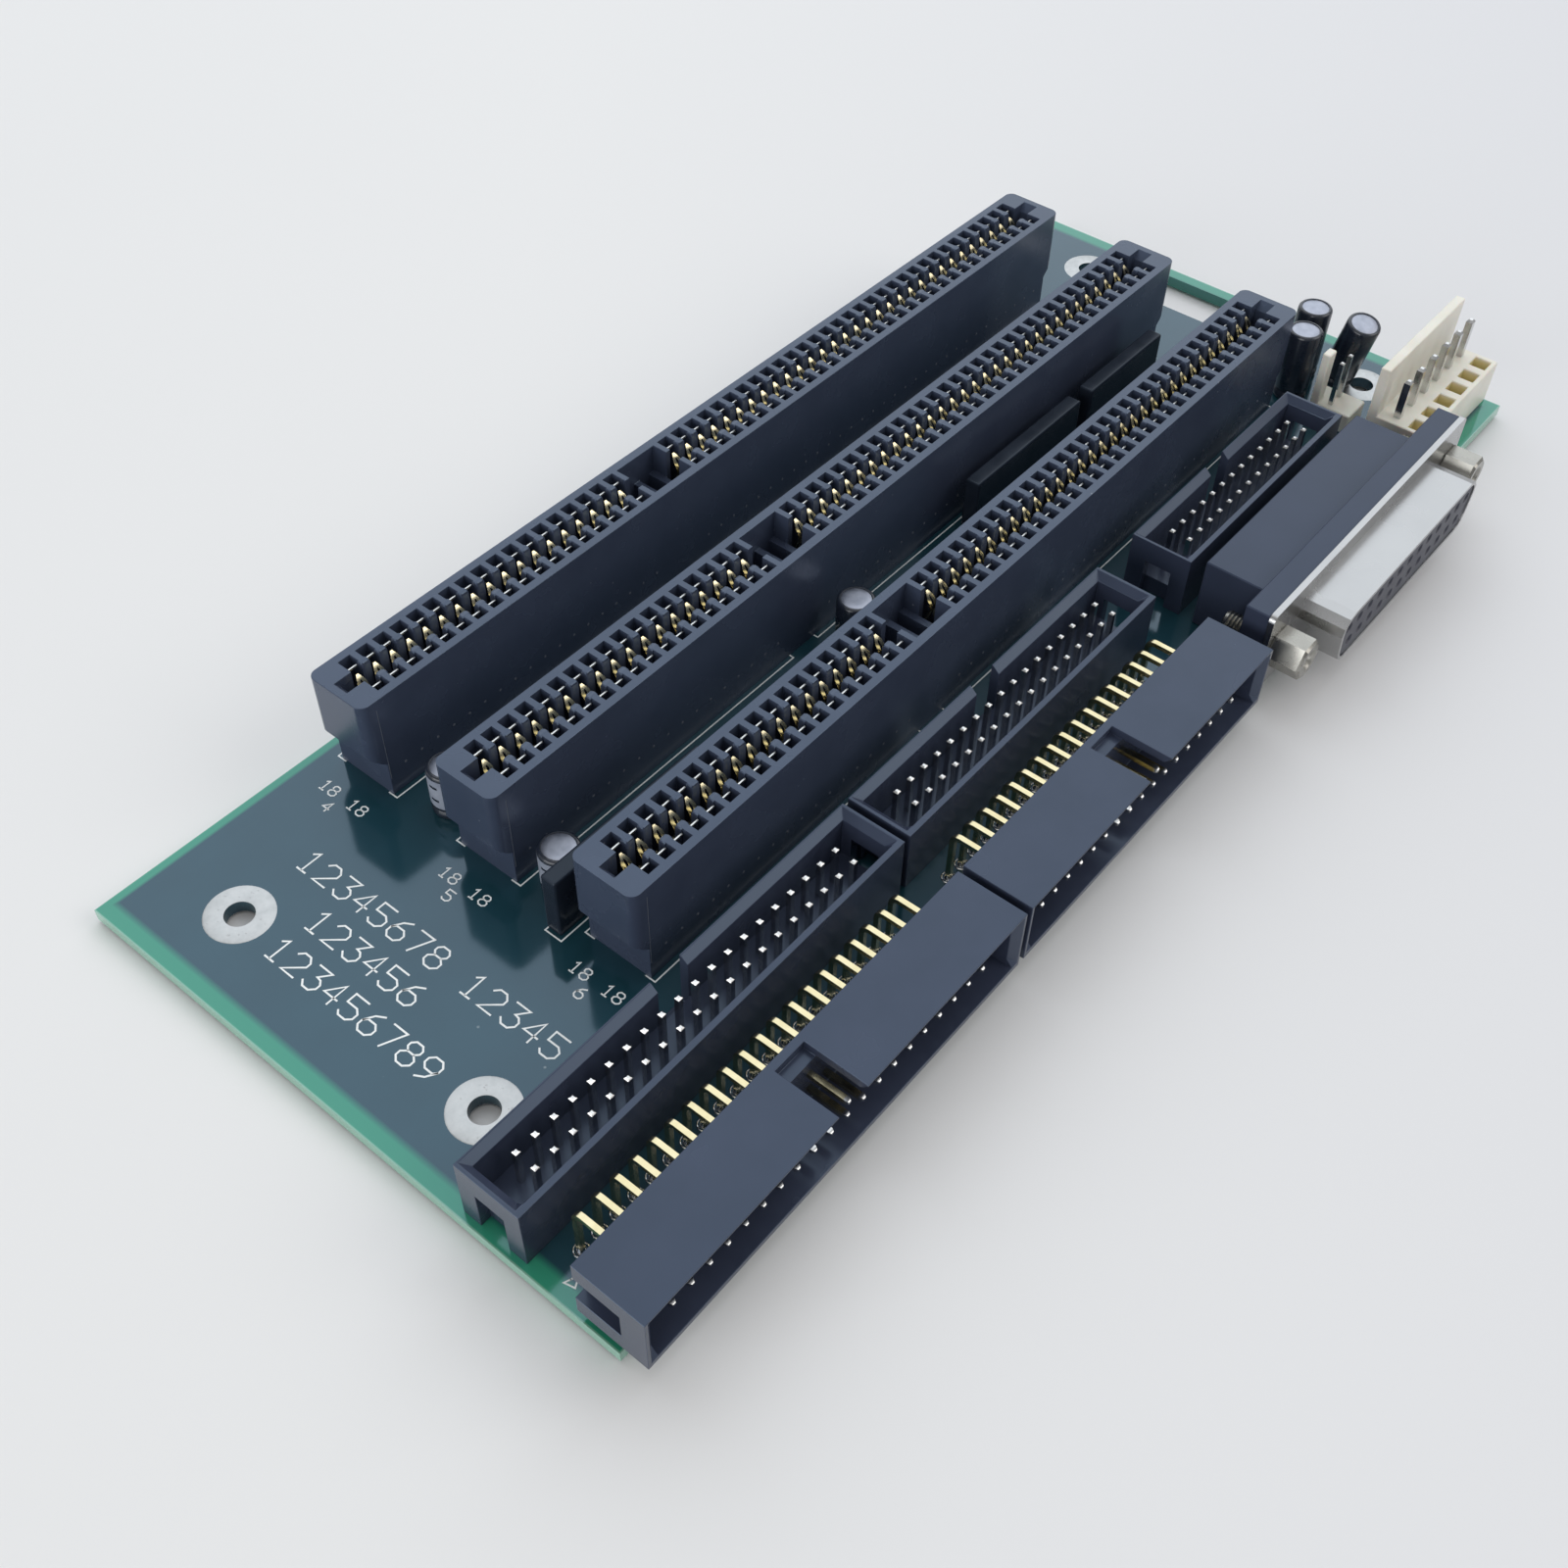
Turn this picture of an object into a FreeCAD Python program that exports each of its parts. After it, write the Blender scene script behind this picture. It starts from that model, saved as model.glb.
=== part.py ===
import FreeCAD, Part
import os
import re
import Sketcher

# Driving dimensions in millimetres, angles in degrees.
# Places on the board are taken from its near edge (x) and its front edge (y),
# and insets from its far and rear edges.
SIZES = {
    # Bare board, its mounting holes and its cut-out
    "board_far_margin": 0.06,
    "board_rear_margin": 3.32,
    "board_thick": 1.6,
    "hole_bore": 3.5,
    "hole_near_x": 9.9,
    "hole_far_inset": 8.65,
    "hole_rear_inset": 12.6,
    "hole_near_front_y": 27.9,
    "hole_far_front_y": 18.2,
    "cutout_length": 7.9,
    "cutout_width": 15.6,
    "cutout_far_inset": 2.0,
    "cutout_y": 42.4,
    # Card slots
    "slot_x": 30.82,
    "slot_header_gap": 4.74,
    "slot_gap": 11.32,
    "slot_width": 9.0,
    "slot_height": 15.24,
    "slot_corner": 1.2,
    "slot_margin": 4.445,
    "slot_foot_inset": 1.9,
    "slot_foot_height": 5.1,
    "slot_foot_slope": 1.8,
    "card_gap": 2.2,
    "card_depth": 11.0,
    "card_end_wall": 1.9,
    "contact_pitch": 2.54,
    "contact_gap": 10.16,
    "near_contacts": 18,
    "far_contacts": 31,
    "card_lead": 0.9,
    "card_lead_depth": 1.2,
    "window_length": 1.7,
    "window_width": 6.8,
    "key_length": 6.8,
    "key_width": 6.6,
    "key_depth": 4.0,
    "key_rib": 1.0,
    "key_near_well": 3.0,
    # Spring contacts in the slots
    "contact_side_gap": 0.2,
    "contact_top_drop": 0.55,
    "contact_top_y": 2.0,
    "contact_bulge_drop": 3.3,
    "contact_bulge": 0.7,
    # Box headers, upright and right-angled
    "pin_pitch": 2.54,
    "pin_side": 0.64,
    "near_pins": 20,
    "middle_pins": 17,
    "far_pins": 13,
    "header_margin": 5.08,
    "header_height": 8.9,
    "header_floor": 2.5,
    "header_end_wall": 1.35,
    "header_key_wall": 1.15,
    "header_plain_wall": 0.75,
    "header_lead": 0.95,
    "header_lead_depth": 0.85,
    "header_notch": 4.45,
    "header_notch_sill": 1.0,
    "header_window": 3.8,
    "header_window_height": 5.7,
    "header_x": 0.82,
    "header_row_gap": 11.7,
    "header_gap": 0.94,
    "header_far_gap": 8.34,
    "straight_width": 8.6,
    "straight_tip_drop": 0.9,
    "angled_width": 8.8,
    "angled_x": 0.08,
    "angled_back_y": 5.3,
    "angled_axis": 6.1,
    "angled_tip_drop": 1.7,
    "angled_leg": 2.0,
    # Right-angle D connector
    "dsub_gap": 2.6,
    "dsub_axis": 6.27,
    "flange_overhang": 1.95,
    "flange_width": 53.04,
    "flange_height": 12.5,
    "flange_thick": 0.8,
    "flange_corner": 1.0,
    "shell_side": 7.32,
    "shell_height": 7.9,
    "shell_slant": 10.0,
    "shell_corner": 2.4,
    "shell_wall": 0.5,
    "shell_reach": 6.1,
    "insert_recess": 0.2,
    "insert_clearance": 0.05,
    "screw_inset": 3.0,
    "screw_hex": 4.8,
    "screw_reach": 4.45,
    "screw_bore": 2.4,
    "screw_bore_depth": 4.0,
    "stud_width": 2.8,
    "stud_reach": 7.25,
    "stud_clearance": 0.1,
    "body_inset": 0.32,
    "body_depth": 3.25,
    "block_screw_gap": 1.97,
    "block_drop": 2.0,
    "block_depth": 8.6,
    # Pale six-way power header
    "power_pitch": 3.96,
    "power_pins": 6,
    "power_gap": 0.3,
    "power_y": 2.5,
    "power_depth": 8.9,
    "power_shelf": 6.5,
    "power_wall": 1.4,
    "power_height": 14.0,
    "power_pin_side": 1.14,
    "power_pin_y": 5.2,
    "power_pin_top": 12.5,
    "power_socket": 2.4,
    "power_socket_y": 1.9,
    "power_socket_depth": 3.0,
    # Small pale two-way header
    "lock_pins": 2,
    "lock_gap": 8.44,
    "lock_header_offset": 2.6,
    "lock_depth": 6.3,
    "lock_base": 3.0,
    "lock_tab_length": 2.0,
    "lock_tab_thick": 1.2,
    "lock_tab_height": 11.0,
    "lock_pin_y": 3.6,
    "lock_pin_top": 10.0,
    # Electrolytic capacitors
    "low_can_width": 5.0,
    "low_can_height": 7.0,
    "low_can_network_gap": 0.06,
    "low_can_near_x": 4.88,
    "low_can_far_x": 57.58,
    "low_can_rear_x": 5.28,
    "low_can_rear_gap": 2.28,
    "tall_can_width": 5.0,
    "tall_can_height": 11.0,
    "tall_can_x": 9.2,
    "tall_can_y": 3.4,
    "mid_can_x": 3.05,
    "mid_can_y": 5.1,
    "leaning_can_x": 10.45,
    "leaning_can_gap": 0.34,
    "leaning_can_tilt": 13.0,
    "leaning_can_heading": -112.0,
    # Upright resistor networks
    "network_thick": 2.2,
    "network_height": 9.0,
    "network_slot_gap": 2.2,
    "network_near_x": -0.42,
    "network_near_length": 25.0,
    "network_middle_x": 83.6,
    "network_middle_length": 24.6,
    "network_far_gap": 2.8,
    "network_far_length": 18.6,
}

# Lengths and places that follow from the driving dimensions
NEAR_SPAN = "((near_contacts - 1) * contact_pitch)"
FAR_SPAN = "((far_contacts - 1) * contact_pitch)"
SLOT_LENGTH = f"(2 * slot_margin + {NEAR_SPAN} + contact_gap + {FAR_SPAN})"
FAR_START = f"(slot_margin + {NEAR_SPAN} + contact_gap)"
KEY_START = f"(slot_margin + {NEAR_SPAN} + (contact_gap - key_length) / 2)"
KEY_END = f"({KEY_START} + key_length)"
CARD_FLOOR = "(slot_height - card_depth)"
CONTACT_WIDTH = "(window_length - 2 * contact_side_gap)"
HEADER_Y = "(angled_back_y + header_row_gap)"
SLOT_PITCH = "(slot_width + slot_gap)"
SLOT_FRONT_Y = f"({HEADER_Y} + straight_width / 2 + slot_header_gap + slot_width / 2)"
LOW_CAN_Y = "(slot_width / 2 + network_slot_gap + network_thick + low_can_network_gap + low_can_width / 2)"
NETWORK_FAR_X = "(network_middle_x + network_middle_length + network_far_gap)"
SCREW_X = "(flange_width / 2 - screw_inset)"
SHELL_WIDTH = "(flange_width - 2 * shell_side)"
BODY_HEIGHT = "(dsub_axis + flange_height / 2 - body_inset)"
POWER_LENGTH = "(power_pins * power_pitch)"


def header_length(count):
    """Length of a box header of so many pins in a row."""
    return f"(({count} - 1) * pin_pitch + 2 * header_margin)"


ANGLED_FAR_X = f"(angled_x + {header_length('near_pins')} + header_gap)"
DSUB_X = f"({ANGLED_FAR_X} + {header_length('middle_pins')} + dsub_gap + flange_width / 2)"
POWER_X = f"({DSUB_X} + flange_width / 2 + power_gap)"
BOARD_LENGTH = f"({POWER_X} + {POWER_LENGTH} + board_far_margin)"
BOARD_WIDTH = f"({SLOT_FRONT_Y} + 2 * {SLOT_PITCH} + slot_width / 2 + board_rear_margin)"
BOARD_LEFT = f"(0 - {BOARD_LENGTH} / 2)"
BOARD_FRONT = f"((flange_overhang + shell_reach - {BOARD_WIDTH}) / 2)"

ALIAS = re.compile(r"[a-z][a-z_]*")

doc = FreeCAD.newDocument("bus_backplane")
sheet = doc.addObject("Spreadsheet::Sheet", "Dimensions")
sub_parts = []


def fill_sheet():
    """Writes every driving dimension to a row of the sheet under its alias."""
    for row, (alias, value) in enumerate(SIZES.items(), start=1):
        sheet.set(f"A{row}", alias)
        sheet.set(f"B{row}", str(value))
        sheet.setAlias(f"B{row}", alias)
    doc.recompute()


def bound(formula):
    """Turns a formula of aliases into an expression on the sheet."""
    def cell(word):
        alias = word.group(0)
        return f"Dimensions.{alias}" if alias in SIZES else alias
    return ALIAS.sub(cell, formula)


def bind(item, **formulas):
    """Ties properties of an object to formulas of the sheet's aliases."""
    for name, formula in formulas.items():
        item.setExpression(name.replace("__", "."), bound(formula))


def new_body(label, separate=False):
    """Starts a sub-part; a group of separate solids is allowed where asked."""
    body = doc.addObject("PartDesign::Body", label)
    body.Label = label
    body.AllowCompound = separate
    sub_parts.append(body)
    return body


def origin_feature(body, role):
    """Finds an axis or plane of the body's own origin."""
    for feature in body.Origin.OriginFeatures:
        if feature.Role == role:
            return feature
    raise RuntimeError(f"{body.Label} has no {role}")


def place(body, x, y, z):
    """Puts a body at a place measured from the board's near front lower corner."""
    bind(body,
         Placement__Base__x=f"{BOARD_LEFT} + {x}",
         Placement__Base__y=f"{BOARD_FRONT} + {y}",
         Placement__Base__z=z)


def new_sketch(body, name, plane, level="0"):
    """Attaches a sketch to a plane of the body's origin, raised to a level."""
    sketch = body.newObject("Sketcher::SketchObject", f"{body.Label}_{name}")
    sketch.AttachmentSupport = (origin_feature(body, plane), [""])
    sketch.MapMode = "FlatFace"
    bind(sketch, AttachmentOffset__Base__z=level)
    return sketch


def hold_point(sketch, geometry, point, x, y):
    """Holds one point of the sketch at formulas for its two coordinates."""
    for axis, formula in (("DistanceX", x), ("DistanceY", y)):
        index = sketch.addConstraint(Sketcher.Constraint(axis, -1, 1, geometry, point, 1.0))
        sketch.setExpression(f"Constraints[{index}]", bound(formula))


def add_outline(sketch, corners):
    """Draws a closed outline of straight sides through the given corners."""
    first = sketch.GeometryCount
    count = len(corners)
    turn = 360.0 / count
    start = [FreeCAD.Rotation(FreeCAD.Vector(0, 0, 1), turn * i).multVec(FreeCAD.Vector(1, 0, 0))
             for i in range(count)]
    for i in range(count):
        sketch.addGeometry(Part.LineSegment(start[i], start[(i + 1) % count]))
    for i in range(count):
        side, following = first + i, first + (i + 1) % count
        sketch.addConstraint(Sketcher.Constraint("Coincident", side, 2, following, 1))
    for i, (x, y) in enumerate(corners):
        hold_point(sketch, first + i, 1, x, y)


def add_rectangle(sketch, left, bottom, right, top):
    """Draws a rectangle between two corners."""
    add_outline(sketch, [(left, bottom), (right, bottom), (right, top), (left, top)])


def add_polygon(sketch, sides, flats, x="0", y="0"):
    """Draws a regular polygon of a given width across its flats."""
    half_turn = 180.0 / sides
    radius = f"({flats} / 2 / cos({half_turn}))"
    add_outline(sketch, [(f"{x} + {radius} * cos({half_turn * (2 * i + 1)})",
                          f"{y} + {radius} * sin({half_turn * (2 * i + 1)})") for i in range(sides)])


def add_circle(sketch, width, x, y):
    """Draws a circle of a given width at a given place."""
    circle = sketch.addGeometry(Part.Circle(FreeCAD.Vector(1, 1, 0), FreeCAD.Vector(0, 0, 1), 1.0))
    index = sketch.addConstraint(Sketcher.Constraint("Diameter", circle, 2.0))
    sketch.setExpression(f"Constraints[{index}]", bound(width))
    hold_point(sketch, circle, 3, x, y)


def pad(body, sketch, length, reverse=False):
    """Adds the sketch's outline as a solid of the given length."""
    feature = body.newObject("PartDesign::Pad", f"{sketch.Name}_pad")
    feature.Profile = sketch
    feature.Reversed = reverse
    bind(feature, Length=length)
    doc.recompute()
    return feature


def pocket(body, sketch, depth=None, reverse=False, both_ways=False, narrows=None):
    """Cuts the sketch's outline to a depth, or right through both ways. It may narrow on the way down."""
    before = body.Shape.Volume
    feature = body.newObject("PartDesign::Pocket", f"{sketch.Name}_pocket")
    feature.Profile = sketch
    if depth is None:
        feature.SideType = "Symmetric"
        feature.Type = "ThroughAll"
    else:
        feature.Reversed = reverse
        bind(feature, Length=depth)
    if both_ways:
        feature.SideType = "Symmetric"
    if narrows:
        bind(feature, TaperAngle=f"-1 * atan({narrows} / {depth})")
    doc.recompute()
    if not body.Shape.Volume < before:
        raise RuntimeError(f"{feature.Name} cuts nothing")
    return feature


def repeat(body, features, count, spacing, rows=None, row_spacing=None):
    """Repeats features along the body's x axis, and along y for further rows."""
    pattern = body.newObject("PartDesign::LinearPattern", f"{features[0].Name}_row")
    pattern.Originals = features
    pattern.Direction = (origin_feature(body, "X_Axis"), [""])
    bind(pattern, Occurrences=count, Length=f"({count} - 1) * {spacing}")
    if rows:
        pattern.Direction2 = (origin_feature(body, "Y_Axis"), [""])
        bind(pattern, Occurrences2=rows, Length2=f"({rows} - 1) * {row_spacing}")
    body.Tip = pattern
    doc.recompute()
    return pattern


def round_edges(body, radius, wanted):
    """Rounds the edges of the body's present shape that the test picks."""
    base = body.Tip
    names = [f"Edge{i}" for i, edge in enumerate(base.Shape.Edges, start=1) if wanted(edge)]
    fillet = body.newObject("PartDesign::Fillet", f"{base.Name}_round")
    fillet.Base = (base, names)
    bind(fillet, Radius=radius)
    doc.recompute()
    return fillet


def runs_along(edge, axis):
    """Says whether a straight edge runs along an axis."""
    if not isinstance(edge.Curve, Part.Line):
        return False
    return abs(abs(edge.Curve.Direction.dot(axis)) - 1.0) < 1e-6


AXIS_Y = FreeCAD.Vector(0, 1, 0)
AXIS_Z = FreeCAD.Vector(0, 0, 1)


# Bare board with mounting holes and a window beside the far edge

def make_board():
    body = new_body("board")
    sheet_outline = new_sketch(body, "outline", "XY_Plane")
    add_rectangle(sheet_outline, "0", "0", BOARD_LENGTH, BOARD_WIDTH)
    pad(body, sheet_outline, "board_thick")
    window = new_sketch(body, "cutout", "XY_Plane", "board_thick")
    window_end = f"{BOARD_LENGTH} - cutout_far_inset"
    add_rectangle(window, f"{window_end} - cutout_length", "cutout_y", window_end, "cutout_y + cutout_width")
    pocket(body, window)
    centres = new_sketch(body, "hole_centres", "XY_Plane", "board_thick")
    hole_far_x = f"{BOARD_LENGTH} - hole_far_inset"
    hole_rear_y = f"{BOARD_WIDTH} - hole_rear_inset"
    add_circle(centres, "hole_bore", "hole_near_x", hole_rear_y)
    add_circle(centres, "hole_bore", "hole_near_x", "hole_near_front_y")
    add_circle(centres, "hole_bore", hole_far_x, hole_rear_y)
    add_circle(centres, "hole_bore", hole_far_x, "hole_far_front_y")
    doc.recompute()
    holes = body.newObject("PartDesign::Hole", "board_holes")
    holes.Profile = centres
    holes.DepthType = "ThroughAll"
    bind(holes, Diameter="hole_bore")
    doc.recompute()
    place(body, "0", "0", "0")


# Card slot: moulded body with a cavity for each pair of contacts, and the contacts

def add_windows(body, name, start, count):
    """Cuts a row of cavities across the card gap, leaving a rib between each two."""
    sketch = new_sketch(body, name, "XY_Plane", "slot_height")
    add_rectangle(sketch, f"{start} - window_length / 2", "0 - window_width / 2",
                  f"{start} + window_length / 2", "window_width / 2")
    cavity = pocket(body, sketch, "card_depth")
    repeat(body, [cavity], count, "contact_pitch")


def make_slot_housing(label, centre_y):
    body = new_body(label)
    plan = new_sketch(body, "plan", "XY_Plane")
    add_rectangle(plan, "0", "0 - slot_width / 2", SLOT_LENGTH, "slot_width / 2")
    pad(body, plan, "slot_height")
    round_edges(body, "slot_corner", lambda edge: runs_along(edge, AXIS_Z))

    feet = new_sketch(body, "feet", "XZ_Plane")
    slope_top = "slot_foot_height + slot_foot_slope"
    add_outline(feet, [("0", "0"), ("slot_foot_inset", "0"),
                       ("slot_foot_inset", "slot_foot_height"), ("0", slope_top)])
    far_face = f"{SLOT_LENGTH} - slot_foot_inset"
    add_outline(feet, [(far_face, "0"), (SLOT_LENGTH, "0"),
                       (SLOT_LENGTH, slope_top), (far_face, "slot_foot_height")])
    pocket(body, feet)

    card = new_sketch(body, "card_gap", "XY_Plane", "slot_height")
    add_rectangle(card, "card_end_wall", "0 - card_gap / 2", KEY_START, "card_gap / 2")
    add_rectangle(card, KEY_END, "0 - card_gap / 2", f"{SLOT_LENGTH} - card_end_wall", "card_gap / 2")
    pocket(body, card, "card_depth")
    ends = new_sketch(body, "card_end_slopes", "XZ_Plane")
    slope_foot = "slot_height - card_lead_depth"
    card_end = f"{SLOT_LENGTH} - card_end_wall"
    add_outline(ends, [("card_end_wall - card_lead", "slot_height"), ("card_end_wall", slope_foot),
                       ("card_end_wall", "slot_height")])
    add_outline(ends, [(card_end, "slot_height"), (card_end, slope_foot),
                       (f"{card_end} + card_lead", "slot_height")])
    pocket(body, ends, "card_gap", both_ways=True)
    add_windows(body, "near_cavity", "slot_margin", "near_contacts")
    add_windows(body, "far_cavity", FAR_START, "far_contacts")

    key = new_sketch(body, "key", "XY_Plane", "slot_height")
    add_rectangle(key, KEY_START, "0 - key_width / 2", KEY_END, "key_width / 2")
    pocket(body, key, "key_depth")
    wells = new_sketch(body, "key_wells", "XY_Plane", "slot_height")
    add_rectangle(wells, KEY_START, "0 - key_width / 2", f"{KEY_START} + key_near_well", "key_width / 2")
    add_rectangle(wells, f"{KEY_START} + key_near_well + key_rib", "0 - key_width / 2",
                  f"{KEY_END} - key_rib", "key_width / 2")
    pocket(body, wells, "card_depth")
    place(body, "slot_x", centre_y, "board_thick")


def add_contacts(body, name, start, count):
    """Adds a row of facing spring pairs, each rooted in the outer corner of its cavity."""
    sketch = new_sketch(body, name, "YZ_Plane", f"{start} - {CONTACT_WIDTH} / 2")
    for sign in ("", "0 - "):
        add_outline(sketch, [(f"{sign}window_width / 2", CARD_FLOOR),
                             (f"{sign}contact_top_y", "slot_height - contact_top_drop"),
                             (f"{sign}(card_gap / 2 - contact_bulge)", "slot_height - contact_bulge_drop")])
    spring = pad(body, sketch, CONTACT_WIDTH)
    repeat(body, [spring], count, "contact_pitch")


def make_slot_contacts(label, centre_y):
    body = new_body(label, separate=True)
    add_contacts(body, "near_springs", "slot_margin", "near_contacts")
    add_contacts(body, "far_springs", FAR_START, "far_contacts")
    place(body, "slot_x", centre_y, "board_thick")


# Box headers: shrouds with a key notch and open ends, upright posts and bent posts

def make_shroud(label, count, width):
    length = header_length(count)
    body = new_body(label)
    plan = new_sketch(body, "plan", "XY_Plane")
    add_rectangle(plan, "0", f"0 - {width} / 2", length, f"{width} / 2")
    pad(body, plan, "header_height")
    cavity = new_sketch(body, "cavity", "XY_Plane", "header_height")
    add_rectangle(cavity, "header_end_wall", f"header_plain_wall - {width} / 2",
                  f"{length} - header_end_wall", f"{width} / 2 - header_key_wall")
    pocket(body, cavity, "header_height - header_floor")
    mouth = new_sketch(body, "mouth_lead_in", "XY_Plane", "header_height")
    add_rectangle(mouth, "header_end_wall - header_lead", f"header_plain_wall - {width} / 2",
                  f"{length} - header_end_wall + header_lead", f"{width} / 2 - header_key_wall + header_lead")
    pocket(body, mouth, "header_lead_depth", narrows="header_lead")
    notch = new_sketch(body, "key_notch", "XY_Plane", "header_height")
    add_rectangle(notch, f"({length} - header_notch) / 2", f"{width} / 2 - header_key_wall",
                  f"({length} + header_notch) / 2", f"{width} / 2")
    pocket(body, notch, "header_height - header_notch_sill")
    near = new_sketch(body, "near_window", "YZ_Plane")
    add_rectangle(near, "0 - header_window / 2", "0", "header_window / 2", "header_window_height")
    pocket(body, near, "header_end_wall", reverse=True)
    far = new_sketch(body, "far_window", "YZ_Plane", length)
    add_rectangle(far, "0 - header_window / 2", "0", "header_window / 2", "header_window_height")
    pocket(body, far, "header_end_wall")
    return body


def make_straight_header(name, count, x):
    shroud = make_shroud(f"straight_shroud_{name}", count, "straight_width")
    place(shroud, x, HEADER_Y, "board_thick")
    posts = new_body(f"straight_pins_{name}", separate=True)
    section = new_sketch(posts, "section", "XY_Plane", "header_floor")
    add_rectangle(section, "header_margin - pin_side / 2", "0 - (pin_pitch + pin_side) / 2",
                  "header_margin + pin_side / 2", "(pin_side - pin_pitch) / 2")
    post = pad(posts, section, "header_height - straight_tip_drop - header_floor")
    repeat(posts, [post], count, "pin_pitch", "2", "pin_pitch")
    place(posts, x, HEADER_Y, "board_thick")


def make_angled_header(name, count, x):
    shroud = make_shroud(f"angled_shroud_{name}", count, "angled_width")
    shroud.Placement.Rotation = FreeCAD.Rotation(FreeCAD.Vector(1, 0, 0), 90)
    place(shroud, x, "angled_back_y", "board_thick + angled_axis")
    posts = new_body(f"angled_pins_{name}", separate=True)
    sides = new_sketch(posts, "sides", "YZ_Plane", "header_margin - pin_side / 2")
    for row in ("0", "1"):
        low = f"(angled_axis + ({row} - 0.5) * pin_pitch - pin_side / 2)"
        inner = f"(angled_leg + {row} * pin_pitch - pin_side / 2)"
        add_outline(sides, [("0", low), (inner, low), (inner, "0"), (f"{inner} + pin_side", "0"),
                            (f"{inner} + pin_side", f"{low} + pin_side"), ("0", f"{low} + pin_side")])
        add_rectangle(sides, "angled_tip_drop - header_height", low, "0 - header_floor", f"{low} + pin_side")
    post = pad(posts, sides, "pin_side")
    repeat(posts, [post], count, "pin_pitch")
    place(posts, x, "angled_back_y", "board_thick")


# D connector: plastic body, pressed shell, socket insert and jack screws

def d_outline(sketch, inset):
    """Draws the rounded D form, wide side up, set in all round by a distance."""
    rise = "(shell_height / 2 - shell_corner)"
    mean = f"({SHELL_WIDTH} / 2 - shell_height / 2 * tan(shell_slant) - shell_corner / cos(shell_slant))"
    wide = f"({mean} + {rise} * tan(shell_slant))"
    narrow = f"({mean} - {rise} * tan(shell_slant))"
    radius = f"(shell_corner - ({inset}))"
    corners = []
    for x, y, first, last in ((narrow, f"0 - {rise}", "(0 - 90)", "(0 - shell_slant)"),
                              (wide, rise, "(0 - shell_slant)", "90"),
                              (f"0 - {wide}", rise, "90", "(180 + shell_slant)"),
                              (f"0 - {narrow}", f"0 - {rise}", "(180 + shell_slant)", "270")):
        for third in range(4):
            turn = f"({first} + ({last} - {first}) * {third} / 3)"
            corners.append((f"{x} + {radius} * cos({turn})", f"{y} + {radius} * sin({turn})"))
    add_outline(sketch, corners)


def add_screw_holes(body, across):
    """Cuts the two eight-sided clearance holes that the jack screws pass through."""
    sketch = new_sketch(body, "screw_holes", "XZ_Plane")
    for side in ("0 - ", ""):
        add_polygon(sketch, 8, across, x=f"{side}{SCREW_X}")
    pocket(body, sketch)


def place_dsub(body):
    place(body, DSUB_X, "0 - flange_overhang", "board_thick + dsub_axis")


def make_dsub_shell():
    body = new_body("dsub_shell")
    plate = new_sketch(body, "plate", "XZ_Plane")
    add_rectangle(plate, "0 - flange_width / 2", "0 - flange_height / 2",
                  "flange_width / 2", "flange_height / 2")
    pad(body, plate, "flange_thick", reverse=True)
    round_edges(body, "flange_corner", lambda edge: runs_along(edge, AXIS_Y))
    outer = new_sketch(body, "outer", "XZ_Plane")
    d_outline(outer, "0")
    pad(body, outer, "shell_reach")
    inner = new_sketch(body, "inner", "XZ_Plane")
    d_outline(inner, "shell_wall")
    pocket(body, inner)
    add_screw_holes(body, "(stud_width + 2 * stud_clearance)")
    place_dsub(body)


def make_dsub_insert():
    body = new_body("dsub_insert")
    face = new_sketch(body, "face", "XZ_Plane", "0 - flange_thick")
    d_outline(face, "shell_wall + insert_clearance")
    pad(body, face, "flange_thick + shell_reach - insert_recess")
    place_dsub(body)


def make_dsub_housing():
    body = new_body("dsub_housing")
    front = new_sketch(body, "front", "XY_Plane", "0 - dsub_axis")
    half_body = "(flange_width / 2 - body_inset)"
    add_rectangle(front, f"0 - {half_body}", "flange_thick", half_body, "flange_thick + body_depth")
    pad(body, front, BODY_HEIGHT)
    rear = new_sketch(body, "rear", "XY_Plane", "0 - dsub_axis")
    half_block = f"({SCREW_X} - stud_width / 2 - block_screw_gap)"
    add_rectangle(rear, f"0 - {half_block}", "flange_thick + body_depth / 2",
                  half_block, "flange_thick + body_depth + block_depth")
    pad(body, rear, f"{BODY_HEIGHT} - block_drop")
    add_screw_holes(body, "(stud_width + 2 * stud_clearance)")
    place_dsub(body)


def make_dsub_standoffs():
    body = new_body("dsub_standoffs", separate=True)
    near = f"0 - {SCREW_X}"
    head = new_sketch(body, "head", "XZ_Plane")
    add_polygon(head, 6, "screw_hex", x=near)
    head_pad = pad(body, head, "screw_reach")
    stud = new_sketch(body, "stud", "XZ_Plane")
    add_polygon(stud, 8, "stud_width", x=near)
    stud_pad = pad(body, stud, "stud_reach", reverse=True)
    bore = new_sketch(body, "bore", "XZ_Plane", "screw_reach")
    add_circle(bore, "screw_bore", near, "0")
    bore_cut = pocket(body, bore, "screw_bore_depth")
    repeat(body, [head_pad, stud_pad, bore_cut], "2", f"2 * {SCREW_X}")
    place_dsub(body)


# Pale headers with a lock wall

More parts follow.
